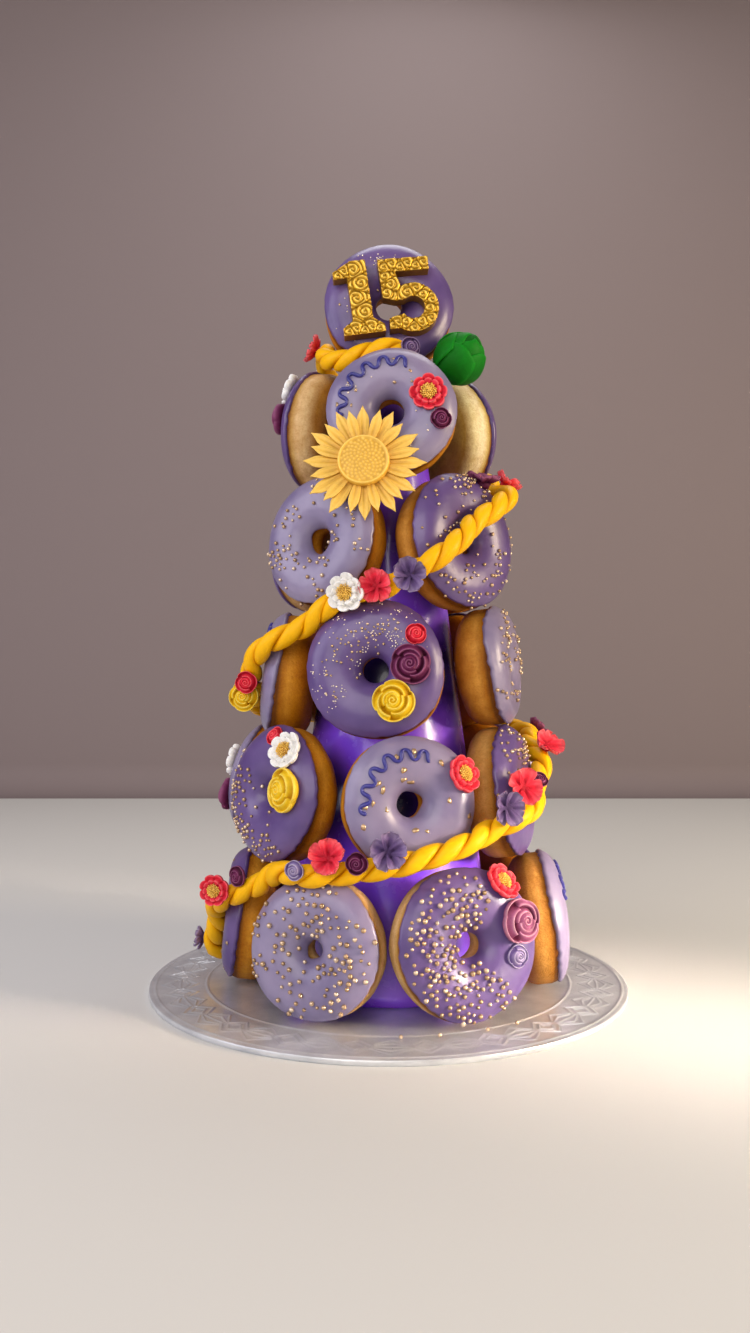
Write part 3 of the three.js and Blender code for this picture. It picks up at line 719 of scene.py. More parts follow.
def make_icing(ring):
    """A poured layer over the front, with a rounded, slightly ragged lip outside and in the hole."""
    clock = circle(ICING.columns)
    share = (0.5 - 0.5 * np.cos(np.linspace(0, pi, ICING.rows)))[:, None]
    ragged = waves(ring.random, (17, 23, 31, 38), 0.017)
    outer = radians(ICING.outer) - radians(ICING.sag) * np.cos(clock) + ragged(clock)
    outer = outer + waves(ring.random, (1, 2, 3, 5), 0.03)(clock)
    inner = radians(ICING.inner) + waves(ring.random, (2, 3, 4), 0.05)(clock)
    angle = outer + (inner - outer) * share
    lip = np.minimum(1, np.minimum(share, 1 - share) / 0.035)
    bead = 0.35 * bell(share - 0.045, 0.03)
    depth = ICING.thickness * (np.sqrt(1 - (1 - lip) ** 2) + bead)
    top = ring.skin(clock, angle, depth - ICING.sunk)
    under = ring.skin(clock, angle, -2 * ICING.sunk)
    thin = np.clip(bell(share, 0.02) + bell(1 - share, 0.03), 0, 1)
    hidden = slice(None, None, -ICING.coarse)
    shape = Shape()
    add_torus(
        shape, np.concatenate([top, under[hidden]]), np.concatenate([thin, thin[hidden]]), ring.seat)
    shape.piece(f"icing_{ring.label}", ring.data.icing)


def strewn_spots(ring, rule, clumped=STREWN.clumped):
    """Clock and reach of things strewn on the icing, a share of them in clumps, clear of the flowers."""
    inner = ring.data.hole / 2 + STREWN.inset
    outer = ring.data.size / 2 - rule.rim
    apart = STREWN.apart * rule.size
    clump = STREWN.near * rule.size + STREWN.stray
    flowers = [
        (f.reach * sin(radians(f.clock)), f.reach * cos(radians(f.clock)), f.size / 2 + rule.size)
        for f in ring.data.flowers
    ]
    found = []
    for _ in range(STREWN.tries * rule.count):
        if len(found) == rule.count:
            break
        if found and ring.random.random() < clumped:
            near = found[ring.random.integers(len(found))]
            x, y = np.array(near) + ring.random.normal(0, clump, 2)
        else:
            clock = radians(rule.clock + ring.random.uniform(-1, 1) * rule.spread)
            reach = np.sqrt(ring.random.uniform(inner ** 2, outer ** 2))
            x, y = reach * sin(clock), reach * cos(clock)
        off = (np.degrees(np.arctan2(x, y)) - rule.clock + 180) % 360 - 180
        if not inner < hypot(x, y) < outer or abs(off) > rule.spread:
            continue
        if any(hypot(x - a, y - b) < room for a, b, room in flowers):
            continue
        if all(hypot(x - a, y - b) > apart for a, b in found):
            found.append((x, y))
    x, y = np.array(found).T
    return np.arctan2(x, y), np.hypot(x, y)


def add_pearls(shape, ring, rule):
    """Sugar pearls of slightly different sizes, a quarter sunk in the icing."""
    clock, reach = strewn_spots(ring, rule)
    radii = rule.size * ring.random.uniform(0.7, 1.18, len(clock))
    centres = ring.skin(clock, ring.angle_at(reach), ICING_TOP + 0.5 * radii)
    add_balls(shape, moved(centres, ring.seat), radii, ring.random.uniform(0.3, 0.75, len(clock)))


def add_specks(shape, ring, rule):
    """Pale specks, like coarse glitter."""
    clock, reach = strewn_spots(ring, rule)
    radii = rule.size * ring.random.uniform(0.5, 1.3, len(clock))
    centres = ring.skin(clock, ring.angle_at(reach), ICING_TOP + 0.15)
    add_balls(shape, moved(centres, ring.seat), radii, 1.0)


def add_flakes(shape, ring, rule):
    """Torn scraps of gold leaf, thin and a little crumpled."""
    for clock, reach in zip(*strewn_spots(ring, rule, FLAKE.clumped)):
        place = ring.spot(np.degrees(clock), reach, ICING_TOP + 0.1)
        angle = circle(FLAKE.sides) + ring.random.uniform(0, tau)
        radius = rule.size * ring.random.uniform(0.35, 1.25, FLAKE.sides)
        lift = ring.random.uniform(0.05, 0.4, FLAKE.sides)
        outline = np.stack([FLAKE.stretch * radius * np.cos(angle), radius * np.sin(angle), lift], -1)
        rings = np.stack([outline, outline + (0, 0, 0.14)])
        add_loft(shape, rings, (0, 0, 0), (0, 0, 0.3), 0.5, place)


def make_wave(ring):
    """A plain piped wave round part of the face."""
    start, end = (radians(clock) for clock in ring.data.wave)
    middle = ring.data.size / 2 - WAVE.inset
    clock = np.linspace(start, end, WAVE.steps)
    phase = tau * (clock - start) * middle / WAVE.length
    angle = ring.angle_at(middle + WAVE.sway * np.sin(phase))
    rounded = clock - 0.014 * np.sin(2 * phase)
    line = ring.skin(rounded, angle, ICING_TOP + 0.4)
    up = ring.skin(rounded, angle, 3.0) - line
    radius = 1.15 + 0.15 * np.cos(2 * phase)
    shape = Shape()
    add_tube(shape, line, radius, up, WAVE.sides, 0.1, ring.seat)
    shape.piece(f"piping_{ring.label}", "piping")


# Flowers stand on z = 0 and face +Z. tip is half of a flower's size.


def add_petal(
    shape, place, length, width, rise, thickness, start=0.0, tone=(0.1, 0.95),
    cup=0.0, crease=0.0, vein=0.0, ruffle=0.0, notch=0.0, blunt=7.0, bend=1.4,
):
    """One petal along +Y, with relief in shares of its width and painted shade and highlight from its
    root to its edge.
    """
    u = np.linspace(0, 1, 13)[:, None]
    w = np.linspace(-1, 1, 15)
    fold = bell(w, 0.17)
    veins = np.cos(4 * pi * w) * u * (1.3 - u)
    half = 0.5 * width * (0.2 + 0.8 * u ** 0.8) * (1 - 0.985 * u ** blunt) ** 0.5
    y = start + (length - start) * u * (1 - notch * u ** 6 * fold)
    y = y - 0.1 * length * u ** 3 * w ** 2
    z = rise * u ** bend + cup * width * w ** 2 * u
    z = z - crease * width * fold * u ** 0.5 * (1.25 - u)
    z = z + ruffle * width * np.sin(3 * pi * w) * u ** 3
    z = z + vein * width * veins
    thick = thickness * (1 - 0.55 * w ** 2) * (1 - 0.4 * u)
    top = np.stack([half * w, y, z], -1)
    bottom = np.stack([half * w, y, z - thick], -1)
    low, high = tone
    # The tone is painted light: painted shade darkens the root and the crease, painted highlight
    # lightens the vein ridges and the edge.
    depth = u ** 1.2 + 0.3 * w ** 2 * u - 0.5 * fold * (1.1 - u) + 6 * vein * veins
    add_slab(shape, top, bottom, low + (high - low) * np.clip(depth, 0, 1), place)


def add_blossom(shape, place, tip, random):
    """Five broad petals, each with a deep crease, veins and a notched edge, set a little unevenly."""
    form = dict(cup=0.13, crease=0.2, vein=0.035, notch=0.14, blunt=6, bend=1.2, ruffle=0.02)
    # The heart's dark tone is painted shade where the petals meet.
    heart = [(0, 0), (0.34 * tip, 0), (0.3 * tip, 0.16 * tip), (0, 0.2 * tip)]
    add_lathe(shape, heart, 14, 0.05, place)
    for k in range(5):
        turn = rotation(72 * k + random.uniform(-7, 7), "Z")
        length = tip * random.uniform(0.94, 1.05)
        rise = tip * random.uniform(0.05, 0.42)
        seat = raised(0.16 * tip) @ rotation(random.uniform(-16, 16), "Y")
        add_petal(shape, place @ turn @ seat, length, 1.3 * tip, rise, 0.1 * tip, **form)


# A row of moulded petals, in shares of a flower's tip: how many, how far out and how high, how steep
# they are inside and outside, how far they lap, how deep their edge dips, and the groove between two

petal_row = record("count reach height inner outer lap scallop groove", groove=0)


def add_moulded(shape, place, tip, rows, heart, random, deep):
    """Rows of petals in one relief, each a wall with a thin raised edge, round a spiral heart if any.

    heart is the reach of the spiral and the spacing of its turns, in shares of tip. deep is how fast
    painted shade darkens the colour in the hollows.
    """
    angle = circle(FLOWER.columns)
    walls = []
    for row in rows:
        place_in_row = (angle / tau * row.count + random.uniform(0, 1)) % row.count
        share = place_in_row % 1
        sizes = random.uniform(0.96, 1.04, row.count)[place_in_row.astype(int)]
        rounded = np.sin(pi * share) ** 0.5
        edge = row.reach * sizes * (1 + row.lap * (share - 0.5) - row.scallop * (1 - rounded))
        beside = np.minimum(share, 1 - share) * tau / row.count
        walls.append((row, edge, row.height * (0.86 + 0.14 * rounded), beside))
    away = np.linspace(1, 0.01, FLOWER.rows)[:, None] * (walls[-1][1] + 0.02)
    height = np.zeros(away.shape)
    lit = np.zeros(away.shape)
    if heart:
        reach, pitch = heart
        turn = (np.minimum(away, reach) / pitch - angle / tau) % 1
        drop = np.minimum(1.2 * turn, 2.6 * (1 - turn)) * pitch
        top = rows[0].height + 0.08
        height = np.where(away < reach, top - drop, top - 1.3 * (away - reach))
        lit = bell(drop, 0.05) * (away < reach)
    for row, edge, top, beside in walls:
        over = away - edge
        wall = top - np.where(over < 0, -row.inner * over, row.outer * over)
        wall = wall - row.groove * bell(beside * away, 0.05)
        height = np.maximum(height, wall + 0.03 * bell(over, 0.04))
        lit = np.maximum(lit, bell(over, 0.06))
    crown = np.interp(away, [row.reach for row in rows], [row.height for row in rows])
    # The tone is painted light: painted highlight on the raised edges, painted shade in the hollows.
    tone = np.clip(0.52 + 0.43 * lit - deep * np.maximum(0, crown - height), 0, 1)
    heights = np.concatenate([0 * height[:1], 0.45 * height[:1], height])
    # The foot ring underneath gets painted shade too.
    reaches = np.concatenate([0.84 * away[:1], away[:1], away])
    tones = np.concatenate([0.2 + 0 * tone[:1], 0.5 + 0 * tone[:1], tone])
    rings = around(reaches, angle, heights) * tip
    add_loft(shape, rings, (0, 0, 0), (0, 0, tip * height[-1].mean()), tones, place)


def add_gilded(shape, place, tip, random):
    """Two rows of dished lobes, with grooves between them."""
    rows = [
        petal_row(9, 0.66, 0.48, 0.5, 2.5, 0.05, 0.16, 0.1),
        petal_row(8, 1.0, 0.36, 0.55, 2.5, 0.04, 0.17, 0.1),
    ]
    add_moulded(shape, place, tip, rows, None, random, 1.2)


def add_stamens(shape, place, tip, random):
    """A dome of gold stamens."""
    dome = [(0, 0.1), (0.37, 0.12), (0.35, 0.36), (0.2, 0.46), (0, 0.5)]
    add_lathe(shape, np.array(dome) * tip, 16, 0.0, place)
    away, angle = spiral_spots(FLOWER.stamens, 0.44 * tip)
    centres = around(away, angle, 0.52 * tip - 0.8 * away ** 2 / tip)
    radii = 0.045 * tip * random.uniform(0.7, 1.3, len(away))
    add_balls(shape, moved(centres, place), radii, random.uniform(0.4, 1, len(away)))


def add_rose(shape, place, tip, random):
    """Overlapping petals with thin edges in a low dome, round a spiral heart."""
    if tip < FLOWER.small:
        rows = [petal_row(2, 0.55, 0.62, 2.4, 1.2, 0.24, 0.06)]
        heart = (0.32, 0.2)
    else:
        rows = [
            petal_row(2, 0.41, 0.66, 2.6, 1.1, 0.24, 0.06),
            petal_row(3, 0.67, 0.58, 2.0, 1.1, 0.22, 0.09),
        ]
        heart = (0.24, 0.16)
    rows.append(petal_row(4, 0.96, 0.4, 1.5, 1.4, 0.04, 0.1))
    add_moulded(shape, place, tip, rows, heart, random, 2.9)


FLOWERS = dict(blossom=add_blossom, gilded=add_gilded, rose=add_rose)


def make_flower(name, bloom, place, stamens, replaced=()):
    """A flower on a short stem. The stamens of a gilded one go into a shape of their own."""
    shape = Shape()
    tip = bloom.size / 2
    random = np.random.default_rng(sum(ord(letter) for letter in name))
    turned = place @ rotation(random.uniform(0, 360), "Z")
    FLOWERS[bloom.kind](shape, turned, tip, random)
    if bloom.kind == "gilded":
        add_stamens(stamens, turned, tip, random)
    stem = [(0, -FLOWER.stem), (0.14 * bloom.size, -FLOWER.stem), (0.2 * bloom.size, 0.3), (0, 0.4)]
    add_lathe(shape, stem, 12, 0.2, place)
    shape.piece(name, bloom.shade, replaced)


# The rope


def smooth_route(points, count):
    """Points along a centripetal Catmull-Rom curve through a list of points."""
    points = np.asarray(points, float)
    padded = np.concatenate([[2 * points[0] - points[1]], points, [2 * points[-1] - points[-2]]])
    found = []
    for position in np.linspace(0, len(points) - 1, count + 1):
        k = min(int(position), len(points) - 2)
        t = position - k
        p = padded[k:k + 4]
        d = np.sqrt(np.linalg.norm(np.diff(p, axis=0), axis=1))
        step = np.diff(p, axis=0) / d[:, None]
        wide = [(p[i + 2] - p[i]) / (d[i] + d[i + 1]) for i in (0, 1)]
        leave = (step[0] - wide[0] + step[1]) * d[1]
        reach = (step[1] - wide[1] + step[2]) * d[1]
        rise = p[2] - p[1]
        square = 3 * rise - 2 * leave - reach
        cube = leave + reach - 2 * rise
        found.append(p[1] + leave * t + square * t ** 2 + cube * t ** 3)
    return np.array(found)


def skin_radius(rings, azimuth, height):
    """Where a ball of the rope's size, coming in from outside, meets a doughnut or the tiers' notch."""
    step = 0.5
    foot = TIERS[2]
    head = TIERS[5]
    slope = (head.radius - foot.radius) / (head.height - foot.height)
    flank = foot.radius + slope * (height - foot.height) + ROPE.lay
    notch = flank if height < head.height else CONE.tip
    radii = np.arange(BOARD.radius, notch, -step)
    points = np.array([on_tower(azimuth, radius - step, height) for radius in radii])
    n = RING.squareness
    touched = np.zeros(len(radii), bool)
    for ring in rings:
        x, y, z = moved(points, ring.inverse).T
        across = np.hypot(x, z) - ring.middle
        scale = (np.abs(across / ring.half) ** n + np.abs(y / ring.deep) ** n) ** (1 / n)
        touched |= np.hypot(across, y) * (1 - 1 / scale) < ROPE_ROOM
    return radii[touched.argmax()] if touched.any() else notch


def rope_line(rings):
    """Azimuths and points of the rope's middle: over the doughnuts, bridging gaps in easy arcs."""
    samples = 420
    evened = 3
    azimuths, heights = smooth_route(ROPE_ROUTE, samples).T
    radii = np.array([skin_radius(rings, a, h) for a, h in zip(azimuths, heights)])
    along = lengths([on_tower(*spot) for spot in zip(azimuths, radii, heights)])
    bridged = (radii[None] - (along[:, None] - along[None]) ** 2 / (2 * ROPE.bend)).max(1)
    even = [bridged[max(0, i - evened):i + evened + 1].mean() for i in range(samples + 1)]
    return azimuths, np.array([on_tower(*spot) for spot in zip(azimuths, even, heights)])


def make_rope(points):
    """Two strands of sugar paste twisted together along the rope's line."""
    along = lengths(points)
    spread = np.linspace(0, along[-1], int(along[-1] / STRAND.step))
    middle = np.stack([np.interp(spread, along, part) for part in points.T], -1)
    for axis in range(3):
        middle[2:-2, axis] = np.convolve(middle[:, axis], np.ones(5) / 5, "valid")
    forward = unit(np.gradient(middle, axis=0))
    outwards = unit(middle * (1, 1, 0))
    outwards = unit(outwards - np.sum(outwards * forward, 1, keepdims=True) * forward)
    across = np.cross(forward, outwards)
    random = np.random.default_rng(1)
    # Painted shade darkens each strand's inner side, in the crease between the two, and painted
    # highlight lightens its outer crest.
    tone = np.clip(0.5 + 0.6 * np.sin(circle(STRAND.sides)), 0, 0.8)
    shape = Shape()
    for side in (0, pi):
        drift = waves(random, (1, 2), 0.16)(spread / 31)
        twist = (side + drift - tau * spread / ROPE.pitch)[:, None]
        away = np.cos(twist) * outwards + np.sin(twist) * across
        strand = middle + STRAND.offset * away
        radius = STRAND.radius * (1 + waves(random, (1, 2, 3), 0.025)(spread / 13))
        taper = np.minimum(1, np.minimum(spread, along[-1] - spread) / 5 + 0.45)
        add_tube(shape, strand, radius * taper, away, STRAND.sides, tone, flat=STRAND.flat)
    nodes = [name for name in frame["nodes"] if name.startswith("rope_length")]
    shape.piece("rope_strands", "rope", nodes)


def rope_flower_place(line, bloom):
    """The frame of a flower on the rope, where its back and its rim just press into the rope."""
    azimuths, points = line
    tip = bloom.size / 2
    nearest = Vector(points[np.abs(azimuths - bloom.azimuth).argmin()])
    spot = nearest + on_tower(bloom.azimuth, bloom.out, bloom.rise)
    place = facing(spot, bloom.azimuth + bloom.turn, bloom.lean)
    x, y, z = moved(points, place.inverted()).T
    away = np.hypot(x, y)
    under = (away < tip + ROPE.half_width) & (np.abs(z) < bloom.size)

    def bulge(edge):
        return np.sqrt(np.maximum(0, ROPE_ROOM ** 2 - np.maximum(0, away[under] - edge) ** 2))

    over = np.maximum(bulge(FLOWER.back * tip), bulge(tip) - FLOWER.depth * tip)
    return place @ raised((z[under] + over).max() + bloom.off - FLOWER.sunk)


# The sunflower, the bud and the numerals


def make_sunflower():
    """Two rows of straight pointed petals round a seeded disc with a raised rim."""
    shape = Shape()
    tip = SUNFLOWER.tip
    disc = SUNFLOWER.disc
    place = facing(Vector(SUNFLOWER.centre), SUNFLOWER.azimuth, SUNFLOWER.lean)
    random = np.random.default_rng(12)
    form = dict(
        thickness=1.6, start=0.75 * disc, tone=(0.25, 0.8), cup=-0.05, crease=0.07, vein=0.012,
        blunt=1.6, bend=1.6)
    for row, (reach, seat, width) in enumerate([(tip, 1.6, 13.5), (0.9 * tip, 3.0, 11.5)]):
        for k in range(SUNFLOWER.petals):
            step = 360 * (k + 0.5 * row) / SUNFLOWER.petals
            turn = rotation(step - 90 + random.uniform(-2.5, 2.5), "Z")
            length = reach * random.uniform(0.95, 1.0)
            rise = 1.6 * random.uniform(0.3, 1)
            add_petal(shape, place @ turn @ raised(seat), length, width, rise, **form)
    angle = circle(DISC.columns)
    away = np.linspace(1, 0.02, DISC.rows)[:, None] * disc
    x, y, _ = np.moveaxis(around(away, angle, 0), -1, 0)
    seed_x, seed_y, _ = around(*spiral_spots(DISC.seeds, 0.84 * disc), 0).T
    gap = np.hypot(x[..., None] - seed_x, y[..., None] - seed_y)
    bumps = bell(gap.min(-1), 0.75)
    rim = bell(away - 0.93 * disc, 0.8)
    dome = DISC.dome + DISC.rise * (1 - (away / disc) ** 2)
    z = np.where(away < 0.86 * disc, dome + 0.55 * bumps, dome) + 1.1 * rim
    z[0] = DISC.foot
    shade = np.clip(0.25 + 0.5 * bumps + 0.6 * rim, 0, 1)
    add_loft(shape, around(away, angle, z), (0, 0, 0), (0, 0, 7.3), shade, place)
    shape.piece("sunflower_petals", "sun", ["sunflower"])


def make_bud():
    """A closed rose bud: overlapping petals wrapped round an egg-shaped core."""
    shape = Shape()
    height = BUD.height
    place = facing(Vector(BUD.centre), BUD.azimuth, BUD.lean)

    def girth(share):
        return BUD.radius * np.sin(pi * np.clip(share, 0, 1) ** 0.8) ** 0.55

    share = np.linspace(0, 1, 22)
    add_lathe(shape, np.stack([0.86 * girth(share), height * share], -1), 40, 0.25, place)
    v = np.linspace(0, 1, 18)[:, None]
    a = np.linspace(-1, 1, 17)
    spiral = 0.035 * a
    flare = 0.05 * v ** 4 + 0.03 * a ** 4
    shade = np.clip(0.35 + 0.5 * v ** 5 + 0.45 * np.abs(a) ** 8, 0, 1)
    layers = [(3, 0.3, 0.985, 62, 0.9, 20), (5, 0.03, 0.84, 52, 0.96, 0)]
    for count, low, high, wide, fit, start in layers:
        level = low + (high - low) * v * (1 - 0.16 * a ** 2 * v)
        for k in range(count):
            azimuth = np.radians(start + 360 * k / count + wide * a * (1 - 0.25 * (1 - v) ** 2))
            top = around(girth(level) * (fit + spiral + flare), azimuth, height * level)
            add_slab(shape, top, top - around(1, azimuth, 0) * 1.1, shade, place)
    shape.piece("bud_petals", "green", ["green_bud"])


def arc(centre, radius, start, end, steps):
    angle = np.radians(np.linspace(start, end, steps))[:, None]
    return np.array(centre) + radius * np.concatenate([np.cos(angle), np.sin(angle)], 1)


# A slab-footed 1, and a 5 with a flat bar, a short stem and a round bowl that hooks back to a blunt end.
# Each has an outline and strokes, a path and half a width, on a baseline, in shares of its height.

BOWL = (0.42, 0.32)
OUTLINE_OF_ONE = np.array([
    (0, 0), (0.55, 0), (0.55, 0.1), (0.41, 0.2), (0.41, 1), (0.2, 1), (-0.04, 0.87), (-0.04, 0.77),
    (0.14, 0.78), (0.14, 0.2), (0, 0.1),
])
OUTLINE_OF_FIVE = np.concatenate([
    [(0.67, 1), (0, 1), (0.03, 0.47), (0.2, 0.42)],
    arc(BOWL, 0.15, 130, -150, 22), [(0.09, 0.19), (0.09, 0.04)],
    arc(BOWL, 0.335, -125, 115, 34), [(0.22, 0.82), (0.67, 0.82)],
])[::-1]
STROKES_OF_ONE = [
    ([(0.275, 0.2), (0.275, 0.98)], 0.135),
    ([(0.02, 0.07), (0.53, 0.07)], 0.075),
    ([(-0.02, 0.82), (0.16, 0.88)], 0.06),
]
STROKES_OF_FIVE = [
    ([(0.03, 0.91), (0.66, 0.91)], 0.085),
    ([(0.11, 0.82), (0.12, 0.48)], 0.095),
    (arc(BOWL, 0.243, 120, -135, 60), 0.092),
    ([(0.1, 0.11), (0.24, 0.12)], 0.075),
]


def scroll_centres(path, half):
    """Middles of scrolls to either side of a stroke in turn, each with its way of turning."""
    along = lengths(path)
    count = max(2, round(along[-1] / (1.3 * half)))
    found = []
    for k in range(count):
        hand = 1 if k % 2 else -1
        spot = along[-1] * (k + 0.5) / count
        behind, centre, ahead = (
            np.array([np.interp(spot + step, along, part) for part in path.T])
            for step in (-0.5, 0, 0.5)
        )
        forward = unit(ahead - behind)
        side = np.array([-forward[1], forward[0]]) * hand
        found.append((*(centre + 0.3 * half * side), hand))
    return found


def scroll_relief(x, y, scrolls):
    """Height, from 0 to 1, of rolled scrolls that fill a face, each about its own middle."""
    scrolls = np.array(scrolls)
    right = x[:, None] - scrolls[:, 0]
    up = y[:, None] - scrolls[:, 1]
    away = np.hypot(right, up)
    nearest, second = np.argsort(away, axis=1)[:, :2].T
    rows = np.arange(len(x))
    reach = away[rows, nearest]
    angle = np.arctan2(up[rows, nearest], right[rows, nearest])
    turn = tau * reach / SCROLL.pitch - scrolls[nearest, 2] * angle + 0.5 * np.sin(3 * angle + reach)
    border = (away[rows, second] - reach) / 2
    return np.sqrt(np.abs(np.cos(turn / 2))) * np.clip(border / SCROLL.groove, 0.25, 1)


def remeshed(points, faces):
    """Points and four-sided faces of a closed solid, redrawn with even, small faces."""
    rough = drawn("rough", points.tolist(), faces)
    mesh = rough.data
    modifier = rough.modifiers.new("remesh", "REMESH")
    modifier.mode = "VOXEL"
    modifier.voxel_size = SCROLL.voxel
    fine = rough.evaluated_get(bpy.context.evaluated_depsgraph_get()).data
    found = np.empty(3 * len(fine.vertices))
    fine.vertices.foreach_get("co", found)
    corners = np.array([list(face.vertices) for face in fine.polygons])
    bpy.data.objects.remove(rough)
    bpy.data.meshes.remove(mesh)
    return found.reshape(-1, 3), corners


def make_numeral(name, outline, strokes, where):
    """A moulded numeral with scrolls in relief all over its front."""
    height = NUMERALS.height
    depth = NUMERALS.depth - SCROLL.relief
    top = TIERS[6]
    body = facing(on_tower(NUMERALS.azimuth, top.radius, top.height), NUMERALS.azimuth, RING.lean)
    stand = Matrix.Translation((where.right, where.up, RING.thickness / 2 + NUMERALS.stand_off))
    outline = outline * height
    count = len(outline)
    cap = tessellate_polygon([[Vector((x, y, 0)) for x, y in outline]])
    rings = np.concatenate([np.c_[outline, np.full(count, z)] for z in (0, depth)])
    sides = [(k, (k + 1) % count, count + (k + 1) % count, count + k) for k in range(count)]
    lid = [tuple(corner + count for corner in face) for face in cap]
    points, corners = remeshed(rings, [*sides, *cap, *lid])
    scrolls = []
    for path, half in strokes:
        scrolls += scroll_centres(np.asarray(path) * height, half * height)
    ribs = scroll_relief(points[:, 0], points[:, 1], scrolls)
    front = np.clip((points[:, 2] - depth + 1.0) / 0.8, 0, 1)
    points[:, 2] += SCROLL.relief * ribs * front
    # Painted highlight on the scrolls' crests and painted shade in their grooves, on the front face
    # only.
    tone = 0.45 + front * (0.1 + 0.75 * (ribs - 0.6))
    shape = Shape()
    shape.add(points, [corners], tone, body @ stand @ rotation(where.roll, "Z"))
    shape.piece(f"{name}_gilt", "gold", [name])


# The cone and the board


def make_cone(rings):
    """Film drawn over a cone, slightly wavy, with a rounded top, and painted shade behind each doughnut.
    """
    base = BOARD.thickness + GAP
    top = base + CONE.height
    share = np.linspace(0, 1, FILM.rows)[:, None]
    angle = circle(FILM.columns)
    sway = waves(np.random.default_rng(5), (3, 5, 7), FILM.sway)
    radius = CONE.base + (CONE.tip - CONE.base) * share + sway(angle + 2 * share)
    wall = around(radius, angle, base + (CONE.height - CONE.shoulder) * share)
    crown = np.linspace(0.2, 0.95, 6)[:, None] * pi / 2
    tip = CONE.tip - CONE.shoulder * (1 - np.cos(crown))
    cap = around(tip, angle, top - CONE.shoulder * (1 - np.sin(crown)))
    points = np.concatenate([wall, cap])
    # Painted shade: the film's tone darkens where it lies behind a doughnut, most near the doughnut's
    # axis.
    shade = np.zeros(points.shape[:2])
    for ring in rings:
        x, y, z = np.moveaxis(moved(points, ring.inverse), -1, 0)
        behind = (y > 0) * (y < 1.5 * RING.thickness)
        hidden = np.exp(-((np.hypot(x, z) / (FILM.shade * ring.data.size)) ** 4))
        shade = np.maximum(shade, hidden * behind)
    shape = Shape()
    add_loft(shape, points, (0, 0, base), (0, 0, top), shade)
    shape.piece("cone_film", "film", ["cone"])


def embossing(radius, angle):
    """Height of the board's border: a diamond and a fan of lines in each sector, between rings."""
    middle = (EMBOSS.inner + EMBOSS.outer) / 2
    sector = tau / EMBOSS.sectors
    local = ((angle + sector / 2) % sector - sector / 2) * middle
    across = radius - middle
    width = sector * middle / 2
    tall = (EMBOSS.outer - EMBOSS.inner) / 2 - 1.5
    diamond = np.abs(local) / (0.55 * width) + np.abs(across) / (0.8 * tall)
    beyond = width - np.abs(local)
    height = 0
    for size in (1, 0.5):
        height = np.maximum(height, bell((diamond - size) * 0.45 * width * 0.8, EMBOSS.fine))
    for share in (-0.9, -0.45, 0.0, 0.45, 0.9):
        line = np.abs(across - share * tall * (1 - beyond / (0.75 * width)))
        height = np.maximum(height, bell(line, EMBOSS.fine) * (beyond < 0.6 * width))
    inside = np.abs(across) < tall + 1
    rings = bell(radius - EMBOSS.inner + 2.5, 0.8) + bell(radius - EMBOSS.outer - 1.5, 0.7)
    return EMBOSS.height * (height * inside + rings)


def make_board():
    """A round card wrapped in embossed foil."""
    edge = BOARD.edge
    reach = BOARD.radius
    ground = BOARD.thickness - EMBOSS.height
    plain = np.linspace(6, EMBOSS.inner - 5, 10)
    worked = np.linspace(EMBOSS.inner - 4.5, EMBOSS.outer + 3.2, EMBOSS.rows)
    radii = np.concatenate([plain, worked])[:, None]
    angle = circle(EMBOSS.columns * EMBOSS.sectors)
    face = around(radii, angle, ground + embossing(radii, angle))
    profile = [
        (reach - edge + edge * cos(turn), BOARD.thickness - edge + (edge - EMBOSS.height) * sin(turn))
        for turn in np.radians([90, 60, 30, 0])
    ]
    profile = np.array(profile + [(reach, 0.4), (reach - 0.4, 0)])
    rim = around(profile[:, :1], angle, profile[:, 1:])
    shape = Shape()
    add_loft(shape, np.concatenate([face, rim]), (0, 0, ground), (0, 0, 0), 0.5)
    shape.piece("board_foil", "foil", ["board"])


# The tower

make_board()

rings = []
pearls = Shape()
leaf = Shape()
stamens = Shape()
for tier, doughnuts in DOUGHNUTS.items():
    for number, data in enumerate(doughnuts, 1):
        ring = Doughnut(tier, number, data, len(rings))
        rings.append(ring)
        make_dough(ring)
        make_icing(ring)
        if data.wave:
            make_wave(ring)
        if data.pearls:
            add_pearls(pearls, ring, data.pearls)
        if data.specks:
            add_specks(pearls, ring, data.specks)
        if data.flakes:
            add_flakes(leaf, ring, data.flakes)
        for k, bloom in enumerate(data.flowers, 1):
            place = ring.spot(bloom.clock, bloom.reach, ICING_TOP - FLOWER.sunk)
            make_flower(f"flower_{ring.label}_{k}", bloom, place, stamens)

make_cone(rings)

line = rope_line(rings)
make_rope(line[1])
for name, bloom in ROPE_FLOWERS.items():
    node = f"flower_{name}"
    make_flower(f"{node}_{bloom.kind}", bloom, rope_flower_place(line, bloom), stamens, [node])

fallen = [on_tower(azimuth, FALLEN.radius, FALLEN.height) for azimuth in FALLEN.azimuths]
add_balls(pearls, fallen, [FALLEN.size] * len(fallen), 0.6)
pearls.piece("sugar_pearls", "pearl")
leaf.piece("gold_leaf", "pearl")
stamens.piece("flower_centres", "sun")
make_sunflower()
make_bud()
make_numeral("numeral_one", OUTLINE_OF_ONE, STROKES_OF_ONE, NUMERAL_ONE)
make_numeral("numeral_five", OUTLINE_OF_FIVE, STROKES_OF_FIVE, NUMERAL_FIVE)


# The floor, the light and the camera, in metres. Each light has its place, aim, size, power, colour and
# spread.

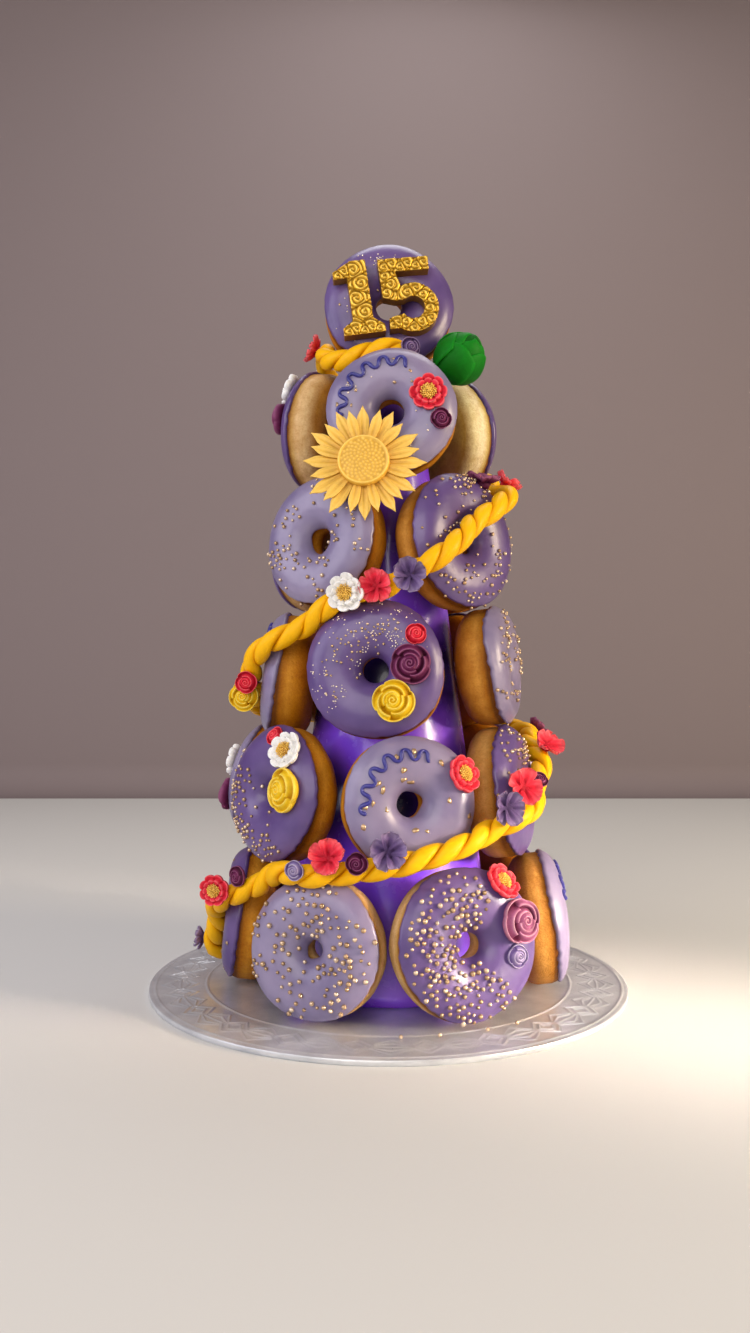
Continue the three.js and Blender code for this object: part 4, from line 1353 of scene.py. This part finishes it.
STAGE = Values(front=-1.6, back=0.98, bend=0.05, height=2.6, half=3.2, roughness=0.7)
STAGE_COLOURS = dict(floor="cfcecb", backdrop="7c6f70")
AIM = (0, 0, 0.2)
LIGHTS = dict(
    front=((-0.45, -1.7, 1.0), AIM, 1.7, 21, "fffaf4", 180),
    key=((1.3, -0.45, 0.55), AIM, 0.6, 17, "ffe8c4", 180),
    fill=((-1.2, -0.5, 0.7), AIM, 1.1, 9, "f6f2ff", 180),
    top=((0.1, 0.5, 1.5), AIM, 1.0, 7, "ffffff", 180),
    low=((0.85, -0.4, 0.2), (0.14, -0.07, 0.0), 0.22, 0.5, "ffeed8", 21),
)
SURROUND = Values(colour="e9e4e6", strength=0.24)
CAMERA = Values(place=(-0.0085, -0.709, 0.205), photo_height=1333, focal_pixels=1088, sensor=36)


def make_stage():
    """A pale floor that meets a plain wall in a small bend."""
    bend = STAGE.bend
    turns = np.radians(np.linspace(0, 90, 8))
    wall = [(STAGE.back + bend * sin(turn), bend - bend * cos(turn)) for turn in turns]
    profiles = dict(
        floor=[(STAGE.front, 0.0), (STAGE.back, 0.0)],
        backdrop=wall + [(STAGE.back + bend, STAGE.height)],
    )
    for name, profile in profiles.items():
        points = [(x, y, z) for y, z in profile for x in (-STAGE.half, STAGE.half)]
        faces = [(2 * k, 2 * k + 1, 2 * k + 3, 2 * k + 2) for k in range(len(profile) - 1)]
        piece = drawn(name, points, faces)
        finish = Finish(name, Base_Color=colour(STAGE_COLOURS[name]), Roughness=STAGE.roughness)
        piece.data.materials.append(finish.material)


def make_light():
    """Lamps about the tower, and a dim even light from all round."""
    for name, (position, aim, size, power, code, spread) in LIGHTS.items():
        light = bpy.data.lights.new(name, "AREA")
        light.shape = "DISK"
        light.size = size
        light.energy = power
        light.spread = radians(spread)
        light.color = colour(code)[:3]
        lamp = linked(name, light)
        lamp.location = position
        lamp.rotation_euler = (Vector(aim) - Vector(position)).to_track_quat("-Z", "Y").to_euler()
    world = bpy.data.worlds.new("studio")
    world.use_nodes = True
    background = world.node_tree.nodes["Background"]
    background.inputs["Color"].default_value = colour(SURROUND.colour)
    background.inputs["Strength"].default_value = SURROUND.strength
    bpy.context.scene.world = world


def make_camera():
    """A level camera at the photograph's viewing angle."""
    camera = bpy.data.cameras.new("camera")
    camera.sensor_width = CAMERA.sensor
    camera.lens = CAMERA.sensor * CAMERA.focal_pixels / CAMERA.photo_height
    eye = linked("camera", camera)
    eye.location = CAMERA.place
    eye.rotation_euler = (pi / 2, 0, 0)
    bpy.context.scene.camera = eye


make_stage()
make_light()
make_camera()
bpy.context.scene.view_settings.view_transform = "Standard"
